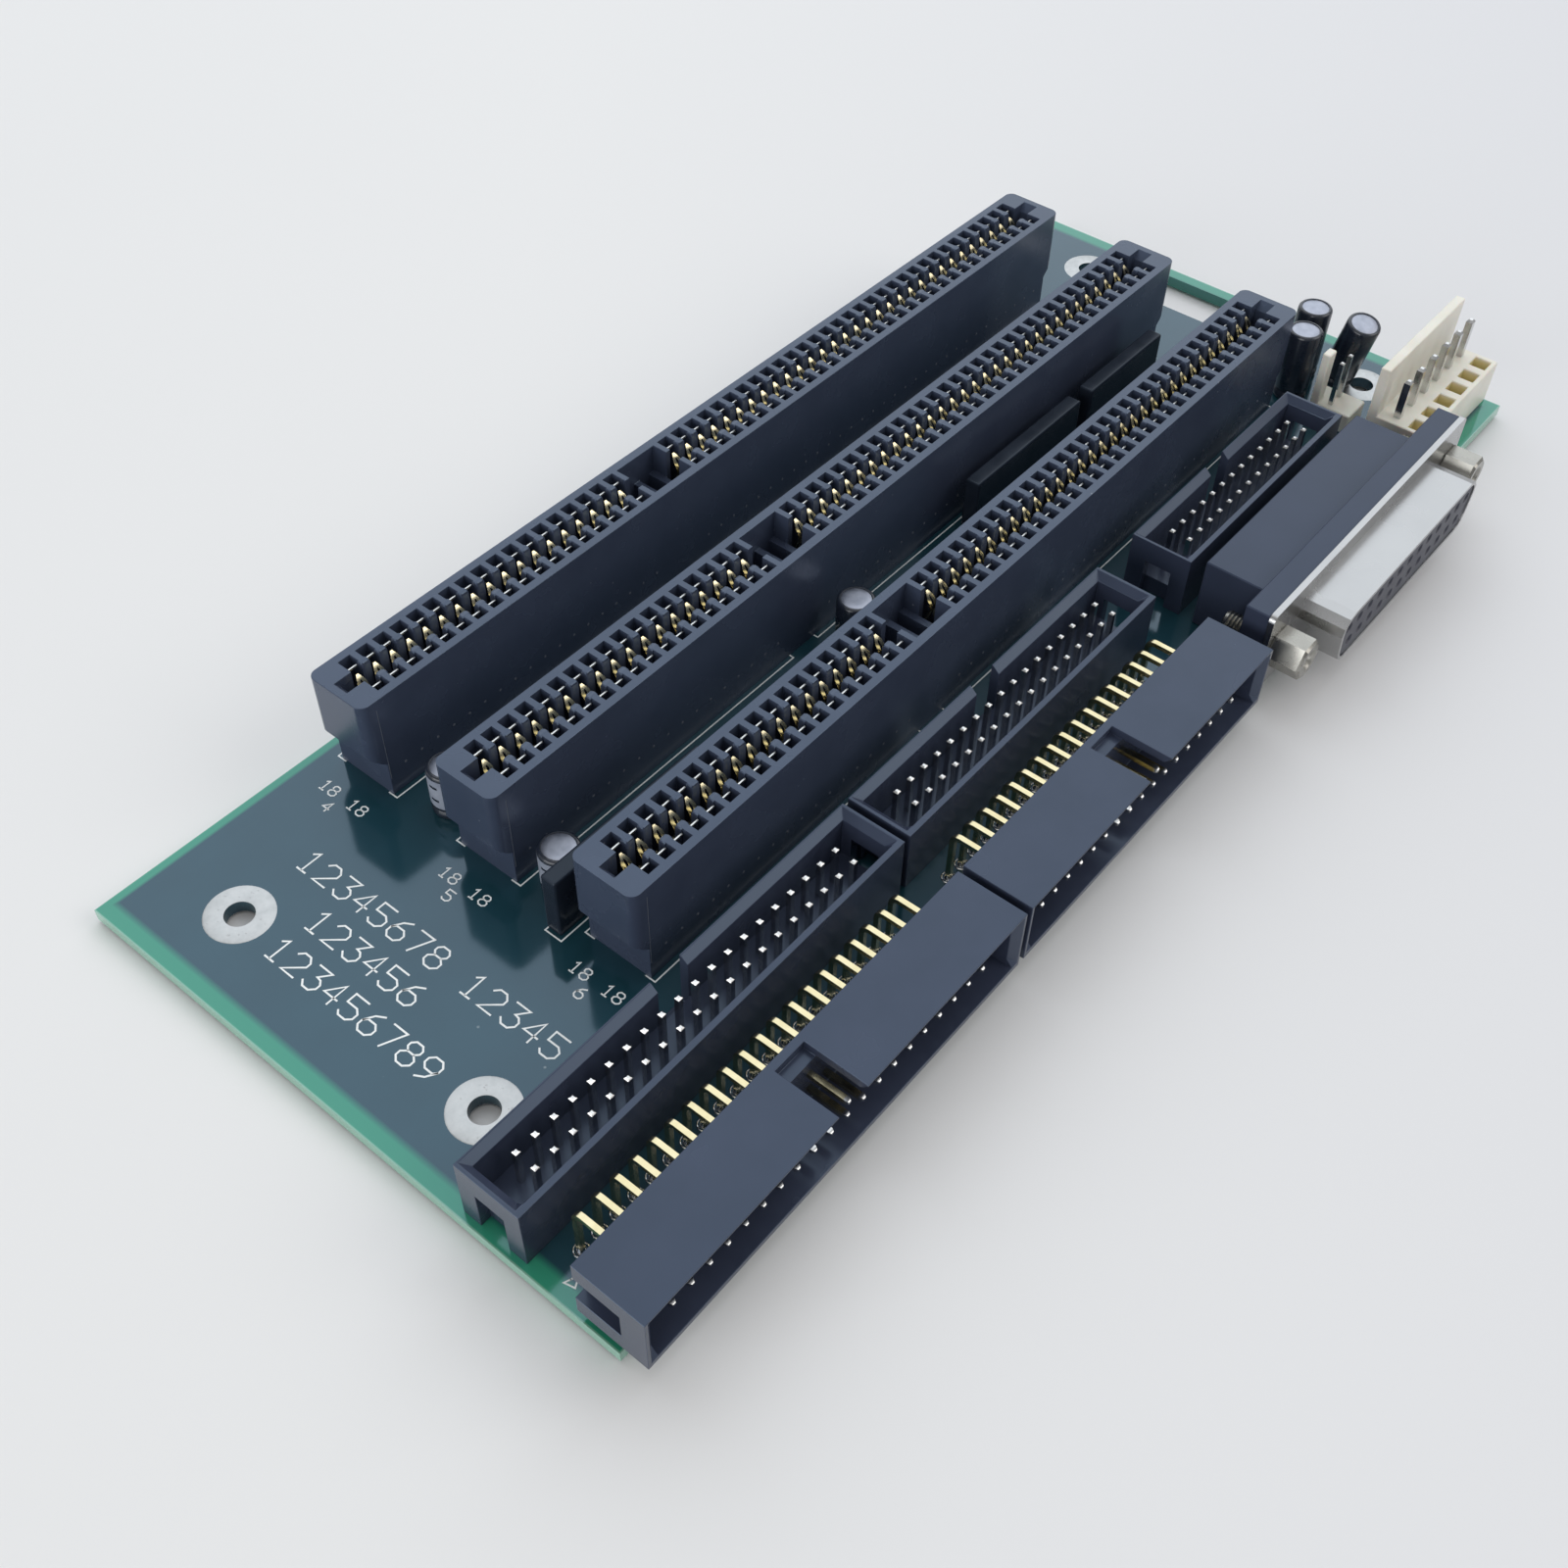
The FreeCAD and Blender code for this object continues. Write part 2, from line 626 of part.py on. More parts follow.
def make_power_header():
    body = new_body("power_housing")
    profile = new_sketch(body, "profile", "YZ_Plane")
    add_outline(profile, [("0", "0"), ("power_depth", "0"), ("power_depth", "power_height"),
                          ("power_depth - power_wall", "power_height"),
                          ("power_depth - power_wall", "power_shelf"), ("0", "power_shelf")])
    pad(body, profile, POWER_LENGTH)
    socket = new_sketch(body, "socket", "XY_Plane", "power_shelf")
    add_rectangle(socket, "(power_pitch - power_socket) / 2", "power_socket_y - power_socket / 2",
                  "(power_pitch + power_socket) / 2", "power_socket_y + power_socket / 2")
    recess = pocket(body, socket, "power_socket_depth")
    repeat(body, [recess], "power_pins", "power_pitch")
    place(body, POWER_X, "power_y", "board_thick")
    posts = new_body("power_pins", separate=True)
    section = new_sketch(posts, "section", "XY_Plane", "power_shelf")
    add_rectangle(section, "(power_pitch - power_pin_side) / 2", "power_pin_y - power_pin_side / 2",
                  "(power_pitch + power_pin_side) / 2", "power_pin_y + power_pin_side / 2")
    post = pad(posts, section, "power_pin_top - power_shelf")
    repeat(posts, [post], "power_pins", "power_pitch")
    place(posts, POWER_X, "power_y", "board_thick")


def make_lock_header(x):
    body = new_body("lock_housing")
    base = new_sketch(body, "base", "XY_Plane")
    add_rectangle(base, "0", "0", "lock_pins * pin_pitch", "lock_depth")
    pad(body, base, "lock_base")
    tab = new_sketch(body, "tab", "XY_Plane")
    add_rectangle(tab, "0", "lock_depth - lock_tab_thick", "lock_tab_length", "lock_depth")
    pad(body, tab, "lock_tab_height")
    place(body, x, f"{HEADER_Y} - lock_header_offset", "board_thick")
    posts = new_body("lock_pins", separate=True)
    section = new_sketch(posts, "section", "XY_Plane", "lock_base")
    add_rectangle(section, "(pin_pitch - pin_side) / 2", "lock_pin_y - pin_side / 2",
                  "(pin_pitch + pin_side) / 2", "lock_pin_y + pin_side / 2")
    post = pad(posts, section, "lock_pin_top - lock_base")
    repeat(posts, [post], "lock_pins", "pin_pitch")
    place(posts, x, f"{HEADER_Y} - lock_header_offset", "board_thick")


# Electrolytic cans, placed from the near end and the far end of the slots

def make_capacitors():
    body = new_body("capacitors", separate=True)
    low = new_sketch(body, "low_cans", "XY_Plane")
    add_circle(low, "low_can_width", "low_can_near_x", LOW_CAN_Y)
    add_circle(low, "low_can_width", "low_can_far_x", LOW_CAN_Y)
    rear_y = f"{SLOT_PITCH} + slot_width / 2 + low_can_rear_gap + low_can_width / 2"
    add_circle(low, "low_can_width", "low_can_rear_x", rear_y)
    pad(body, low, "low_can_height")
    tall = new_sketch(body, "tall_cans", "XY_Plane")
    add_circle(tall, "tall_can_width", f"{SLOT_LENGTH} + tall_can_x", "0 - tall_can_y")
    add_circle(tall, "tall_can_width", f"{SLOT_LENGTH} + mid_can_x", "0 - mid_can_y")
    pad(body, tall, "tall_can_height")
    leaning = new_sketch(body, "leaning_can", "XY_Plane", "tall_can_width / 2 * sin(leaning_can_tilt)")
    bind(leaning,
         AttachmentOffset__Base__x=f"{SLOT_LENGTH} + leaning_can_x",
         AttachmentOffset__Base__y="0 - (tall_can_y + tall_can_width + leaning_can_gap)",
         AttachmentOffset__Rotation__Angle="leaning_can_tilt",
         AttachmentOffset__Rotation__Axis__x="0 - sin(leaning_can_heading)",
         AttachmentOffset__Rotation__Axis__y="cos(leaning_can_heading)",
         AttachmentOffset__Rotation__Axis__z="0")
    add_circle(leaning, "tall_can_width", "0", "0")
    pad(body, leaning, "tall_can_height")
    place(body, "slot_x", SLOT_FRONT_Y, "board_thick")


# Resistor networks standing between the front and middle slots

def make_resistor_networks():
    body = new_body("resistor_networks", separate=True)
    plan = new_sketch(body, "plan", "XY_Plane")
    front = "slot_width / 2 + network_slot_gap"
    back = f"{SLOT_PITCH} - slot_width / 2 - network_slot_gap"
    add_rectangle(plan, "network_near_x", front, "network_near_x + network_near_length",
                  f"{front} + network_thick")
    for start, length in (("network_middle_x", "network_middle_length"), (NETWORK_FAR_X, "network_far_length")):
        add_rectangle(plan, start, f"{back} - network_thick", f"{start} + {length}", back)
    pad(body, plan, "network_height")
    place(body, "slot_x", SLOT_FRONT_Y, "board_thick")


def check_model():
    """Stops if any object failed or any sub-part has no sound solid."""
    for item in doc.Objects:
        if "Invalid" in item.State or "Error" in item.State:
            raise RuntimeError(f"{item.Name} failed: {item.State}")
    for body in sub_parts:
        if body.Shape.isNull() or not body.Shape.isValid() or not body.Shape.Solids:
            raise RuntimeError(f"{body.Label} has no valid solid")


fill_sheet()
make_board()
for slot, slot_name in enumerate(("front", "middle", "rear")):
    slot_centre = f"{SLOT_FRONT_Y} + {slot} * {SLOT_PITCH}"
    make_slot_housing(f"slot_housing_{slot_name}", slot_centre)
    make_slot_contacts(f"slot_contacts_{slot_name}", slot_centre)
header_end = "header_x"
for header_name, gap in (("near", "0"), ("middle", "header_gap"), ("far", "header_far_gap")):
    header_start = f"{header_end} + {gap}"
    make_straight_header(header_name, f"{header_name}_pins", header_start)
    header_end = f"{header_start} + {header_length(header_name + '_pins')}"
make_angled_header("near", "near_pins", "angled_x")
make_angled_header("far", "middle_pins", ANGLED_FAR_X)
make_dsub_shell()
make_dsub_insert()
make_dsub_housing()
make_dsub_standoffs()
make_power_header()
make_lock_header(f"{header_end} + lock_gap")
make_capacitors()
make_resistor_networks()
doc.recompute()
check_model()
os.makedirs("parts", exist_ok=True)
for sub_part in sub_parts:
    sub_part.Shape.exportStep(f"parts/{sub_part.Label}.step")
    print(f"{sub_part.Label}: {len(sub_part.Shape.Solids)} solids, {sub_part.Shape.Volume:.1f} mm3")
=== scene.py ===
import math
import random

import bmesh
import bpy
from mathutils import Matrix, Vector


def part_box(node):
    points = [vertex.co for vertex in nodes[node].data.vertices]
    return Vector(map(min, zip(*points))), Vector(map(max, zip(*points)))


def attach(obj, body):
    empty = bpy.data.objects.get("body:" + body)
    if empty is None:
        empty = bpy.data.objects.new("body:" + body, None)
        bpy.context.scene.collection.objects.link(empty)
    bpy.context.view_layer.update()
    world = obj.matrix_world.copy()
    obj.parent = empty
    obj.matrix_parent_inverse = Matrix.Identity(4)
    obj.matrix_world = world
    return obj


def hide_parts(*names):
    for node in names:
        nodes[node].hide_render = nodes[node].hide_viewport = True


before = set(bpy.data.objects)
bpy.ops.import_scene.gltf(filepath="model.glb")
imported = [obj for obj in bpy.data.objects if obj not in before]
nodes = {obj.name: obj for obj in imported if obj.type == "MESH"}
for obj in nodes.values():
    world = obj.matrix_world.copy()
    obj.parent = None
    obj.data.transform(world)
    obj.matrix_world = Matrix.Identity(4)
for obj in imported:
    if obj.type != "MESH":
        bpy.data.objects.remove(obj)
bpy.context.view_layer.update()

mm = 0.001
rng = random.Random(7)
right, deep, up = Vector((1, 0, 0)), Vector((0, 1, 0)), Vector((0, 0, 1))
print("frame loaded:", len(nodes), "nodes")


# mesh helpers, all in millimetres until piece() scales them
def loft(bm, rings, closed=False):
    loops = [[bm.verts.new(p) for p in ring] for ring in rings]
    steps = len(loops) if closed else len(loops) - 1
    for i in range(steps):
        a, b = loops[i], loops[(i + 1) % len(loops)]
        for j in range(len(a)):
            k = (j + 1) % len(a)
            bm.faces.new((a[j], a[k], b[k], b[j]))
    if not closed:
        bm.faces.new(loops[0][::-1])
        bm.faces.new(loops[-1])


def squareRing(centre, u, v, halfU, halfV):
    return [centre - u * halfU - v * halfV, centre + u * halfU - v * halfV,
            centre + u * halfU + v * halfV, centre - u * halfU + v * halfV]


def roundRing(centre, u, v, radius, count):
    return [centre + u * (radius * math.cos(t)) + v * (radius * math.sin(t))
            for t in (2 * math.pi * i / count for i in range(count))]


def turned(bm, profile, matrix, count, closed=False):
    loft(bm, [[matrix @ p for p in roundRing(up * z, right, deep, r, count)] for r, z in profile], closed)


def post(bm, foot, top, half, tip):
    line = (top - foot).normalized()
    side = right if abs(line.x) < 0.5 else deep
    other = line.cross(side)
    loft(bm, [squareRing(foot, side, other, half, half),
              squareRing(top - line * tip, side, other, half, half),
              squareRing(top, side, other, half * 0.5, half * 0.5)])


def ribbon(bm, points, width, low, high):
    rings = []
    for i, p in enumerate(points):
        before = (p - points[i - 1]).normalized() if i else None
        after = (points[i + 1] - p).normalized() if i + 1 < len(points) else None
        line = ((before or after) + (after or before)).normalized()
        lean = line.dot(after or before)
        across = Vector((-line.y, line.x, 0)) * (width / 2 / max(lean, 0.5))
        rings.append([p + across + up * low, p - across + up * low, p - across + up * high, p + across + up * high])
    loft(bm, rings)


def piece(name, bm, look, stands=(), sharp=40):
    bmesh.ops.recalc_face_normals(bm, faces=bm.faces)
    bmesh.ops.scale(bm, vec=(mm, mm, mm), verts=bm.verts)
    mesh = bpy.data.meshes.new(name)
    bm.to_mesh(mesh)
    bm.free()
    mesh.materials.append(look)
    for face in mesh.polygons:
        face.use_smooth = True
    mesh.set_sharp_from_angle(angle=math.radians(sharp))
    made = bpy.data.objects.new(name, mesh)
    bpy.context.scene.collection.objects.link(made)
    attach(made, "root")
    if stands:
        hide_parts(*stands)


# finishes
def addNode(tree, kind, **values):
    node = tree.nodes.new(kind)
    for key, value in values.items():
        setattr(node, key, value)
    return node


def feed(tree, socket, value):
    if isinstance(value, bpy.types.NodeSocket):
        tree.links.new(value, socket)
    else:
        socket.default_value = value


def noise(tree, place, scale, detail=3.0, rough=0.5):
    node = addNode(tree, "ShaderNodeTexNoise")
    feed(tree, node.inputs["Vector"], place)
    node.inputs["Scale"].default_value = scale
    node.inputs["Detail"].default_value = detail
    node.inputs["Roughness"].default_value = rough
    return node.outputs["Fac"]


def spread(tree, value, low, high, start=0.3, end=0.7):
    node = addNode(tree, "ShaderNodeMapRange")
    feed(tree, node.inputs["Value"], value)
    node.inputs["From Min"].default_value = start
    node.inputs["From Max"].default_value = end
    node.inputs["To Min"].default_value = low
    node.inputs["To Max"].default_value = high
    return node.outputs["Result"]


def sums(tree, how, a, b):
    node = addNode(tree, "ShaderNodeMath", operation=how)
    feed(tree, node.inputs[0], a)
    feed(tree, node.inputs[1], b)
    return node.outputs[0]


def blendColour(tree, share, a, b):
    node = addNode(tree, "ShaderNodeMix", data_type="RGBA")
    feed(tree, node.inputs["Factor"], share)
    feed(tree, node.inputs["A"], a if isinstance(a, bpy.types.NodeSocket) else (*a, 1))
    feed(tree, node.inputs["B"], b if isinstance(b, bpy.types.NodeSocket) else (*b, 1))
    return node.outputs["Result"]


speck = {"edge": (0.03, 0.07), "patchScale": 90, "patchEdge": (0.56, 0.62), "share": 0.5}


def startFinish(name, look):
    mat = bpy.data.materials.new(name)
    mat.use_nodes = True
    tree = mat.node_tree
    shader = tree.nodes["Principled BSDF"]
    shader.inputs["Metallic"].default_value = look.get("metal", 0.0)
    shader.inputs["IOR"].default_value = look.get("ior", 1.5)
    shader.inputs["Specular Tint"].default_value = (*look.get("tint", (1, 1, 1)), 1)
    shader.inputs["Coat Weight"].default_value = look.get("coat", 0.0)
    shader.inputs["Coat Roughness"].default_value = look.get("coatRough", 0.1)
    place = addNode(tree, "ShaderNodeTexCoord").outputs["Object"]
    grain = noise(tree, place, look["grainScale"], 4.0, 0.6)
    patch = noise(tree, place, look["patchScale"], 3.0)
    feed(tree, shader.inputs["Roughness"], spread(tree, patch, *look["rough"]))
    bump = addNode(tree, "ShaderNodeBump")
    bump.inputs["Strength"].default_value = look["bump"]
    bump.inputs["Distance"].default_value = look.get("bumpDeep", 0.00002)
    feed(tree, bump.inputs["Height"], grain)
    feed(tree, shader.inputs["Normal"], bump.outputs["Normal"])
    colour = blendColour(tree, spread(tree, patch, 0.0, 1.0), look["dark"], look["light"])
    if "dust" in look:  # a few pale specks
        cells = addNode(tree, "ShaderNodeTexVoronoi")
        feed(tree, cells.inputs["Vector"], place)
        cells.inputs["Scale"].default_value = look["dustScale"]
        specks = spread(tree, cells.outputs["Distance"], 1.0, 0.0, *speck["edge"])
        where = spread(tree, noise(tree, place, speck["patchScale"], 1.0), 0.0, speck["share"], *speck["patchEdge"])
        colour = blendColour(tree, sums(tree, "MULTIPLY", specks, where), colour, look["dust"])
    feed(tree, shader.inputs["Base Color"], colour)
    return mat, tree, shader, place, colour


slotPlasticLook = {"dark": (0.044, 0.056, 0.092), "light": (0.052, 0.066, 0.106), "rough": (0.22, 0.30),
                   "ior": 1.56, "tint": (0.62, 0.80, 1.0), "grainScale": 2600, "patchScale": 160, "bump": 0.12,
                   "dust": (0.34, 0.36, 0.40), "dustScale": 420}
# lighter copy of the slot plastic: painted highlight for the wall dots and the corner line
paintedHighlightPlasticLook = {**slotPlasticLook, "dark": (0.10, 0.11, 0.14), "light": (0.15, 0.16, 0.19)}
headerPlasticLook = {"dark": (0.034, 0.042, 0.070), "light": (0.041, 0.050, 0.083), "rough": (0.20, 0.28),
                     "ior": 1.52, "tint": (0.62, 0.80, 1.0), "grainScale": 2300, "patchScale": 140, "bump": 0.15}
bodyPlasticLook = {**headerPlasticLook, "rough": (0.30, 0.38), "ior": 1.42}
goldLook = {"dark": (0.78, 0.68, 0.42), "light": (0.86, 0.77, 0.52), "metal": 1.0, "rough": (0.20, 0.28),
            "grainScale": 3000, "patchScale": 500, "bump": 0.1}
paleGoldLook = {"dark": (0.64, 0.56, 0.33), "light": (0.73, 0.65, 0.42), "metal": 1.0, "rough": (0.16, 0.26),
                "grainScale": 3000, "patchScale": 700, "bump": 0.2}
tinLook = {"dark": (0.60, 0.61, 0.60), "light": (0.72, 0.72, 0.71), "metal": 1.0, "rough": (0.34, 0.48),
           "grainScale": 2600, "patchScale": 700, "bump": 0.35}
pinTinLook = {"dark": (0.54, 0.54, 0.54), "light": (0.66, 0.66, 0.65), "metal": 1.0, "rough": (0.16, 0.26),
              "grainScale": 2600, "patchScale": 700, "bump": 0.12}
solderLook = {"dark": (0.40, 0.41, 0.44), "light": (0.52, 0.53, 0.56), "metal": 1.0, "rough": (0.10, 0.18),
              "grainScale": 1500, "patchScale": 500, "bump": 0.12}
padTinLook = {"dark": (0.42, 0.43, 0.43), "light": (0.56, 0.57, 0.57), "metal": 1.0, "rough": (0.36, 0.50),
              "grainScale": 1800, "patchScale": 900, "bump": 0.4, "bumpDeep": 0.00003,
              "dust": (0.22, 0.22, 0.22), "dustScale": 300}
shellLook = {"dark": (0.42, 0.42, 0.42), "light": (0.455, 0.455, 0.455), "metal": 1.0, "rough": (0.25, 0.29),
             "grainScale": 2200, "patchScale": 120, "bump": 0.02}
screwLook = {"dark": (0.33, 0.32, 0.29), "light": (0.39, 0.38, 0.345), "metal": 1.0, "rough": (0.24, 0.30),
             "grainScale": 2200, "patchScale": 400, "bump": 0.05}
greyPlasticLook = {"dark": (0.036, 0.038, 0.056), "light": (0.056, 0.058, 0.080), "rough": (0.40, 0.55),
                   "grainScale": 2600, "patchScale": 300, "bump": 0.3}
palePlasticLook = {"dark": (0.72, 0.69, 0.60), "light": (0.82, 0.80, 0.72), "rough": (0.34, 0.48),
                   "grainScale": 2200, "patchScale": 180, "bump": 0.2, "glow": 0.15, "glowDeep": 0.001,
                   "shelf": (7.5, 8.1), "rowY": 31.075, "rowEdge": (1.2, 1.35), "endEdge": (0.3, 0.5),
                   "socket": (0.72, 0.63, 0.34)}  # the sockets look yellow inside
sleeveLook = {"dark": (0.010, 0.014, 0.024), "light": (0.020, 0.026, 0.040), "rough": (0.22, 0.34),
              "grainScale": 1800, "patchScale": 300, "bump": 0.15, "coat": 0.3}
stripeLook = {"dark": (0.27, 0.30, 0.37), "light": (0.35, 0.38, 0.45), "rough": (0.30, 0.42),
              "grainScale": 1800, "patchScale": 500, "bump": 0.15}
canMetalLook = {"dark": (0.32, 0.34, 0.40), "light": (0.45, 0.47, 0.54), "metal": 1.0, "rough": (0.38, 0.52),
                "grainScale": 2600, "patchScale": 900, "bump": 0.3}
resinLook = {"dark": (0.014, 0.019, 0.029), "light": (0.020, 0.026, 0.039), "rough": (0.14, 0.22), "ior": 1.34,
             "tint": (0.7, 0.85, 1.0), "grainScale": 500, "patchScale": 240, "bump": 0.2, "bumpDeep": 0.00004}
printLook = {"dark": (0.84, 0.87, 0.87), "light": (0.92, 0.94, 0.93), "rough": (0.45, 0.6),
             "grainScale": 3000, "patchScale": 1100, "bump": 0.3}

slotPlastic = startFinish("slot_plastic", slotPlasticLook)[0]
paintedHighlightPlastic = startFinish("painted_highlight_plastic", paintedHighlightPlasticLook)[0]
headerPlastic = startFinish("header_plastic", headerPlasticLook)[0]
bodyPlastic = startFinish("body_plastic", bodyPlasticLook)[0]
gold = startFinish("gold_plate", goldLook)[0]
paleGold = startFinish("pale_gold_plate", paleGoldLook)[0]
tin = startFinish("tin_plate", tinLook)[0]
pinTin = startFinish("pin_tin", pinTinLook)[0]
padTin = startFinish("pad_tin", padTinLook)[0]
solder = startFinish("solder", solderLook)[0]
shellMetal = startFinish("shell_metal", shellLook)[0]
screwMetal = startFinish("screw_metal", screwLook)[0]
greyPlastic = startFinish("grey_plastic", greyPlasticLook)[0]
sleeve = startFinish("can_sleeve", sleeveLook)[0]
stripe = startFinish("can_stripe", stripeLook)[0]
canMetal = startFinish("can_metal", canMetalLook)[0]
resin = startFinish("dark_resin", resinLook)[0]
whitePrint = startFinish("white_print", printLook)[0]

maskLook = {"dark": (0.011, 0.045, 0.060), "light": (0.014, 0.054, 0.072), "rough": (0.09, 0.13), "ior": 1.74,
            "tint": (0.62, 0.80, 1.0), "coat": 0.12, "coatRough": 0.1,
            "grainScale": 420, "patchScale": 120, "bump": 0.08, "bumpDeep": 0.00003,
            # the pale edge colour below is a painted highlight along the board's very edge
            "border": (0.032, 0.27, 0.16), "edgeHighlight": (0.30, 0.52, 0.40), "edge": 2.2, "farEdge": 1.1,
            "borderFade": (0.74, 1.14), "edgeHighlightFade": (0.03, 0.10), "edgeHighlightShare": 0.8,
            "dust": (0.5, 0.55, 0.55), "dustScale": 320}


def maskFinish(look):
    mat, tree, shader, place, plane = startFinish("solder_mask", look)
    low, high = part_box("board")
    parts = addNode(tree, "ShaderNodeSeparateXYZ")
    feed(tree, parts.inputs[0], place)
    x, y, z = parts.outputs
    sides = [sums(tree, "DIVIDE", sums(tree, "SUBTRACT", x, low.x), look["edge"] * mm),
             sums(tree, "DIVIDE", sums(tree, "SUBTRACT", high.x, x), look["edge"] * mm),
             sums(tree, "DIVIDE", sums(tree, "SUBTRACT", y, low.y), look["edge"] * mm),
             sums(tree, "DIVIDE", sums(tree, "SUBTRACT", high.y, y), look["farEdge"] * mm)]
    inset = sides[0]
    for other in sides[1:]:
        inset = sums(tree, "MINIMUM", inset, other)
    bare = spread(tree, inset, 1.0, 0.0, *look["borderFade"])  # 1 where the copper plane stops short of the edge
    edgeHighlight = spread(tree, inset, look["edgeHighlightShare"], 0.0, *look["edgeHighlightFade"])  # painted highlight along the very edge of the board
    colour = blendColour(tree, edgeHighlight, blendColour(tree, bare, plane, look["border"]), look["edgeHighlight"])
    feed(tree, shader.inputs["Base Color"], colour)
    return mat


def ivoryFinish(look):
    mat, tree, shader, place, plain = startFinish("pale_plastic", look)
    parts = addNode(tree, "ShaderNodeSeparateXYZ")
    feed(tree, parts.inputs[0], place)
    x, y, z = parts.outputs
    low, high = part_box("power_housing")
    under = spread(tree, z, 1.0, 0.0, *(v * mm for v in look["shelf"]))
    offRow = sums(tree, "ABSOLUTE", sums(tree, "ADD", y, look["rowY"] * mm), 0.0)
    inRow = spread(tree, offRow, 1.0, 0.0, *(v * mm for v in look["rowEdge"]))
    toEnd = sums(tree, "MINIMUM", sums(tree, "SUBTRACT", x, low.x), sums(tree, "SUBTRACT", high.x, x))
    inside = sums(tree, "MULTIPLY", inRow, spread(tree, toEnd, 0.0, 1.0, *(v * mm for v in look["endEdge"])))
    feed(tree, shader.inputs["Base Color"],
         blendColour(tree, sums(tree, "MULTIPLY", under, inside), plain, look["socket"]))
    shader.inputs["Subsurface Weight"].default_value = look["glow"]
    shader.inputs["Subsurface Scale"].default_value = look["glowDeep"]
    return mat


solderMask = maskFinish(maskLook)
ivory = ivoryFinish(palePlasticLook)
print("finishes ready:", len(bpy.data.materials))


# CAD nodes that keep their own form, with softened edges
def dress(name, look, edge=0.0, segments=1):
    node = nodes[name]
    node.data.materials.clear()
    node.data.materials.append(look)
    if "custom_normal" in node.data.attributes:
        node.data.attributes.remove(node.data.attributes["custom_normal"])
    for face in node.data.polygons:
        face.use_smooth = False
        face.material_index = 0
    weld = node.modifiers.new("weld", "WELD")
    weld.merge_threshold = 0.000005
    if edge:
        flat = node.modifiers.new("flat", "DECIMATE")
        flat.decimate_type = "DISSOLVE"
        flat.angle_limit = math.radians(1.5)
        soft = node.modifiers.new("soft", "BEVEL")
        soft.width = edge * mm
        soft.segments = segments
        soft.limit_method = "ANGLE"
        soft.angle_limit = math.radians(40)
        soft.use_clamp_overlap = True


dress("board", solderMask)
for place in ("front", "middle", "rear"):
    dress("slot_housing_" + place, slotPlastic, 0.06)
for place in ("near", "middle", "far"):
    dress("straight_shroud_" + place, headerPlastic, 0.05)
for place in ("near", "far"):
    dress("angled_shroud_" + place, headerPlastic, 0.05)
dress("dsub_housing", bodyPlastic, 0.15)
dress("dsub_shell", shellMetal, 0.2, 3)
dress("power_housing", ivory, 0.12)
dress("lock_housing", ivory, 0.15)
dress("resistor_networks", resin, 0.3, 3)
print("frame nodes dressed")


# card slot springs: split strip that bulges into the slot, and a bright cut end
spring = {"centres": {"front": -4.935, "middle": 15.385, "rear": 35.705}, "firstX": -59.735, "groupX": -6.395,
          "counts": (18, 31), "pitch": 2.54, "half": 0.64, "slit": 0.16, "thick": 0.2, "ease": 0.07, "slitEnd": 10,
          "line": ((3.2, 5.9), (2.4, 8.2), (1.5, 10.6), (0.8, 12.2), (0.46, 13.0), (0.36, 13.4), (0.42, 13.86),
                   (0.62, 14.24), (0.88, 14.64), (1.06, 14.9), (1.14, 15.02), (1.34, 15.25), (1.56, 15.48)),
          "wide": (1, 1, 1, 1, 1, 1, 1, 1, 1, 0.82, 0.72, 0.48, 0.24),  # shares of half, pointed at the top
          "bar": {"half": 0.64, "y": (1.96, 2.14), "z": (16.02, 16.28)}, "tailRow": 2.54}


def springX():
    return ([spring["firstX"] + spring["pitch"] * i for i in range(spring["counts"][0])]
            + [spring["groupX"] + spring["pitch"] * i for i in range(spring["counts"][1])])


def springStrip(bm, x, centre, facing):
    line = [Vector((0, centre + facing * y, z)) for y, z in spring["line"]]
    half, slit, last = spring["half"], spring["slit"], spring["slitEnd"]
    grid = []
    for i, p in enumerate(line):
        run = (line[min(i + 1, len(line) - 1)] - line[max(i - 1, 0)]).normalized()
        back = run.cross(right) * -facing * spring["thick"]  # away from the card
        gap = slit if i < last - 1 else slit * 0.6 if i == last - 1 else 0.0
        edge = half * spring["wide"][i]
        rows = []
        for b, ease in ((0, spring["ease"]), (1, 0.0)):  # front edges are coined
            inner = gap + ease if gap else 0.0
            xs = (ease - edge, -inner, inner, edge - ease)
            rows.append([bm.verts.new(p + right * (x + a) + back * b) for a in xs])
        grid.append(rows)
    for i in range(len(line) - 1):
        a, b = grid[i], grid[i + 1]
        for layer in (0, 1):
            for j in (0, 2):
                bm.faces.new((a[layer][j], a[layer][j + 1], b[layer][j + 1], b[layer][j]))
        for j in (0, 3) if i >= last else (0, 1, 2, 3):
            bm.faces.new((a[0][j], a[1][j], b[1][j], b[0][j]))
    for row in (grid[0], grid[-1]):
        for j in (0, 2):
            bm.faces.new((row[0][j], row[0][j + 1], row[1][j + 1], row[1][j]))


def springBar(bm, x, centre, facing):  # cut end across the top
    bar = spring["bar"]
    (inner, outer), half = bar["y"], bar["half"]
    shape = ((-half, inner), (half, inner), (half, outer), (-half, outer))
    loft(bm, [[Vector((x + a, centre + facing * b, z)) for a, b in shape] for z in bar["z"]])


for place, centre in spring["centres"].items():
    strips, bars = bmesh.new(), bmesh.new()
    for x in springX():
        for facing in (1, -1):
            springStrip(strips, x, centre, facing)
            springBar(bars, x, centre, facing)
    bmesh.ops.remove_doubles(strips, verts=strips.verts, dist=0.0001)
    piece("slot_springs_" + place, strips, gold, ["slot_contacts_" + place], 30)
    piece("slot_spring_ends_" + place, bars, tin)

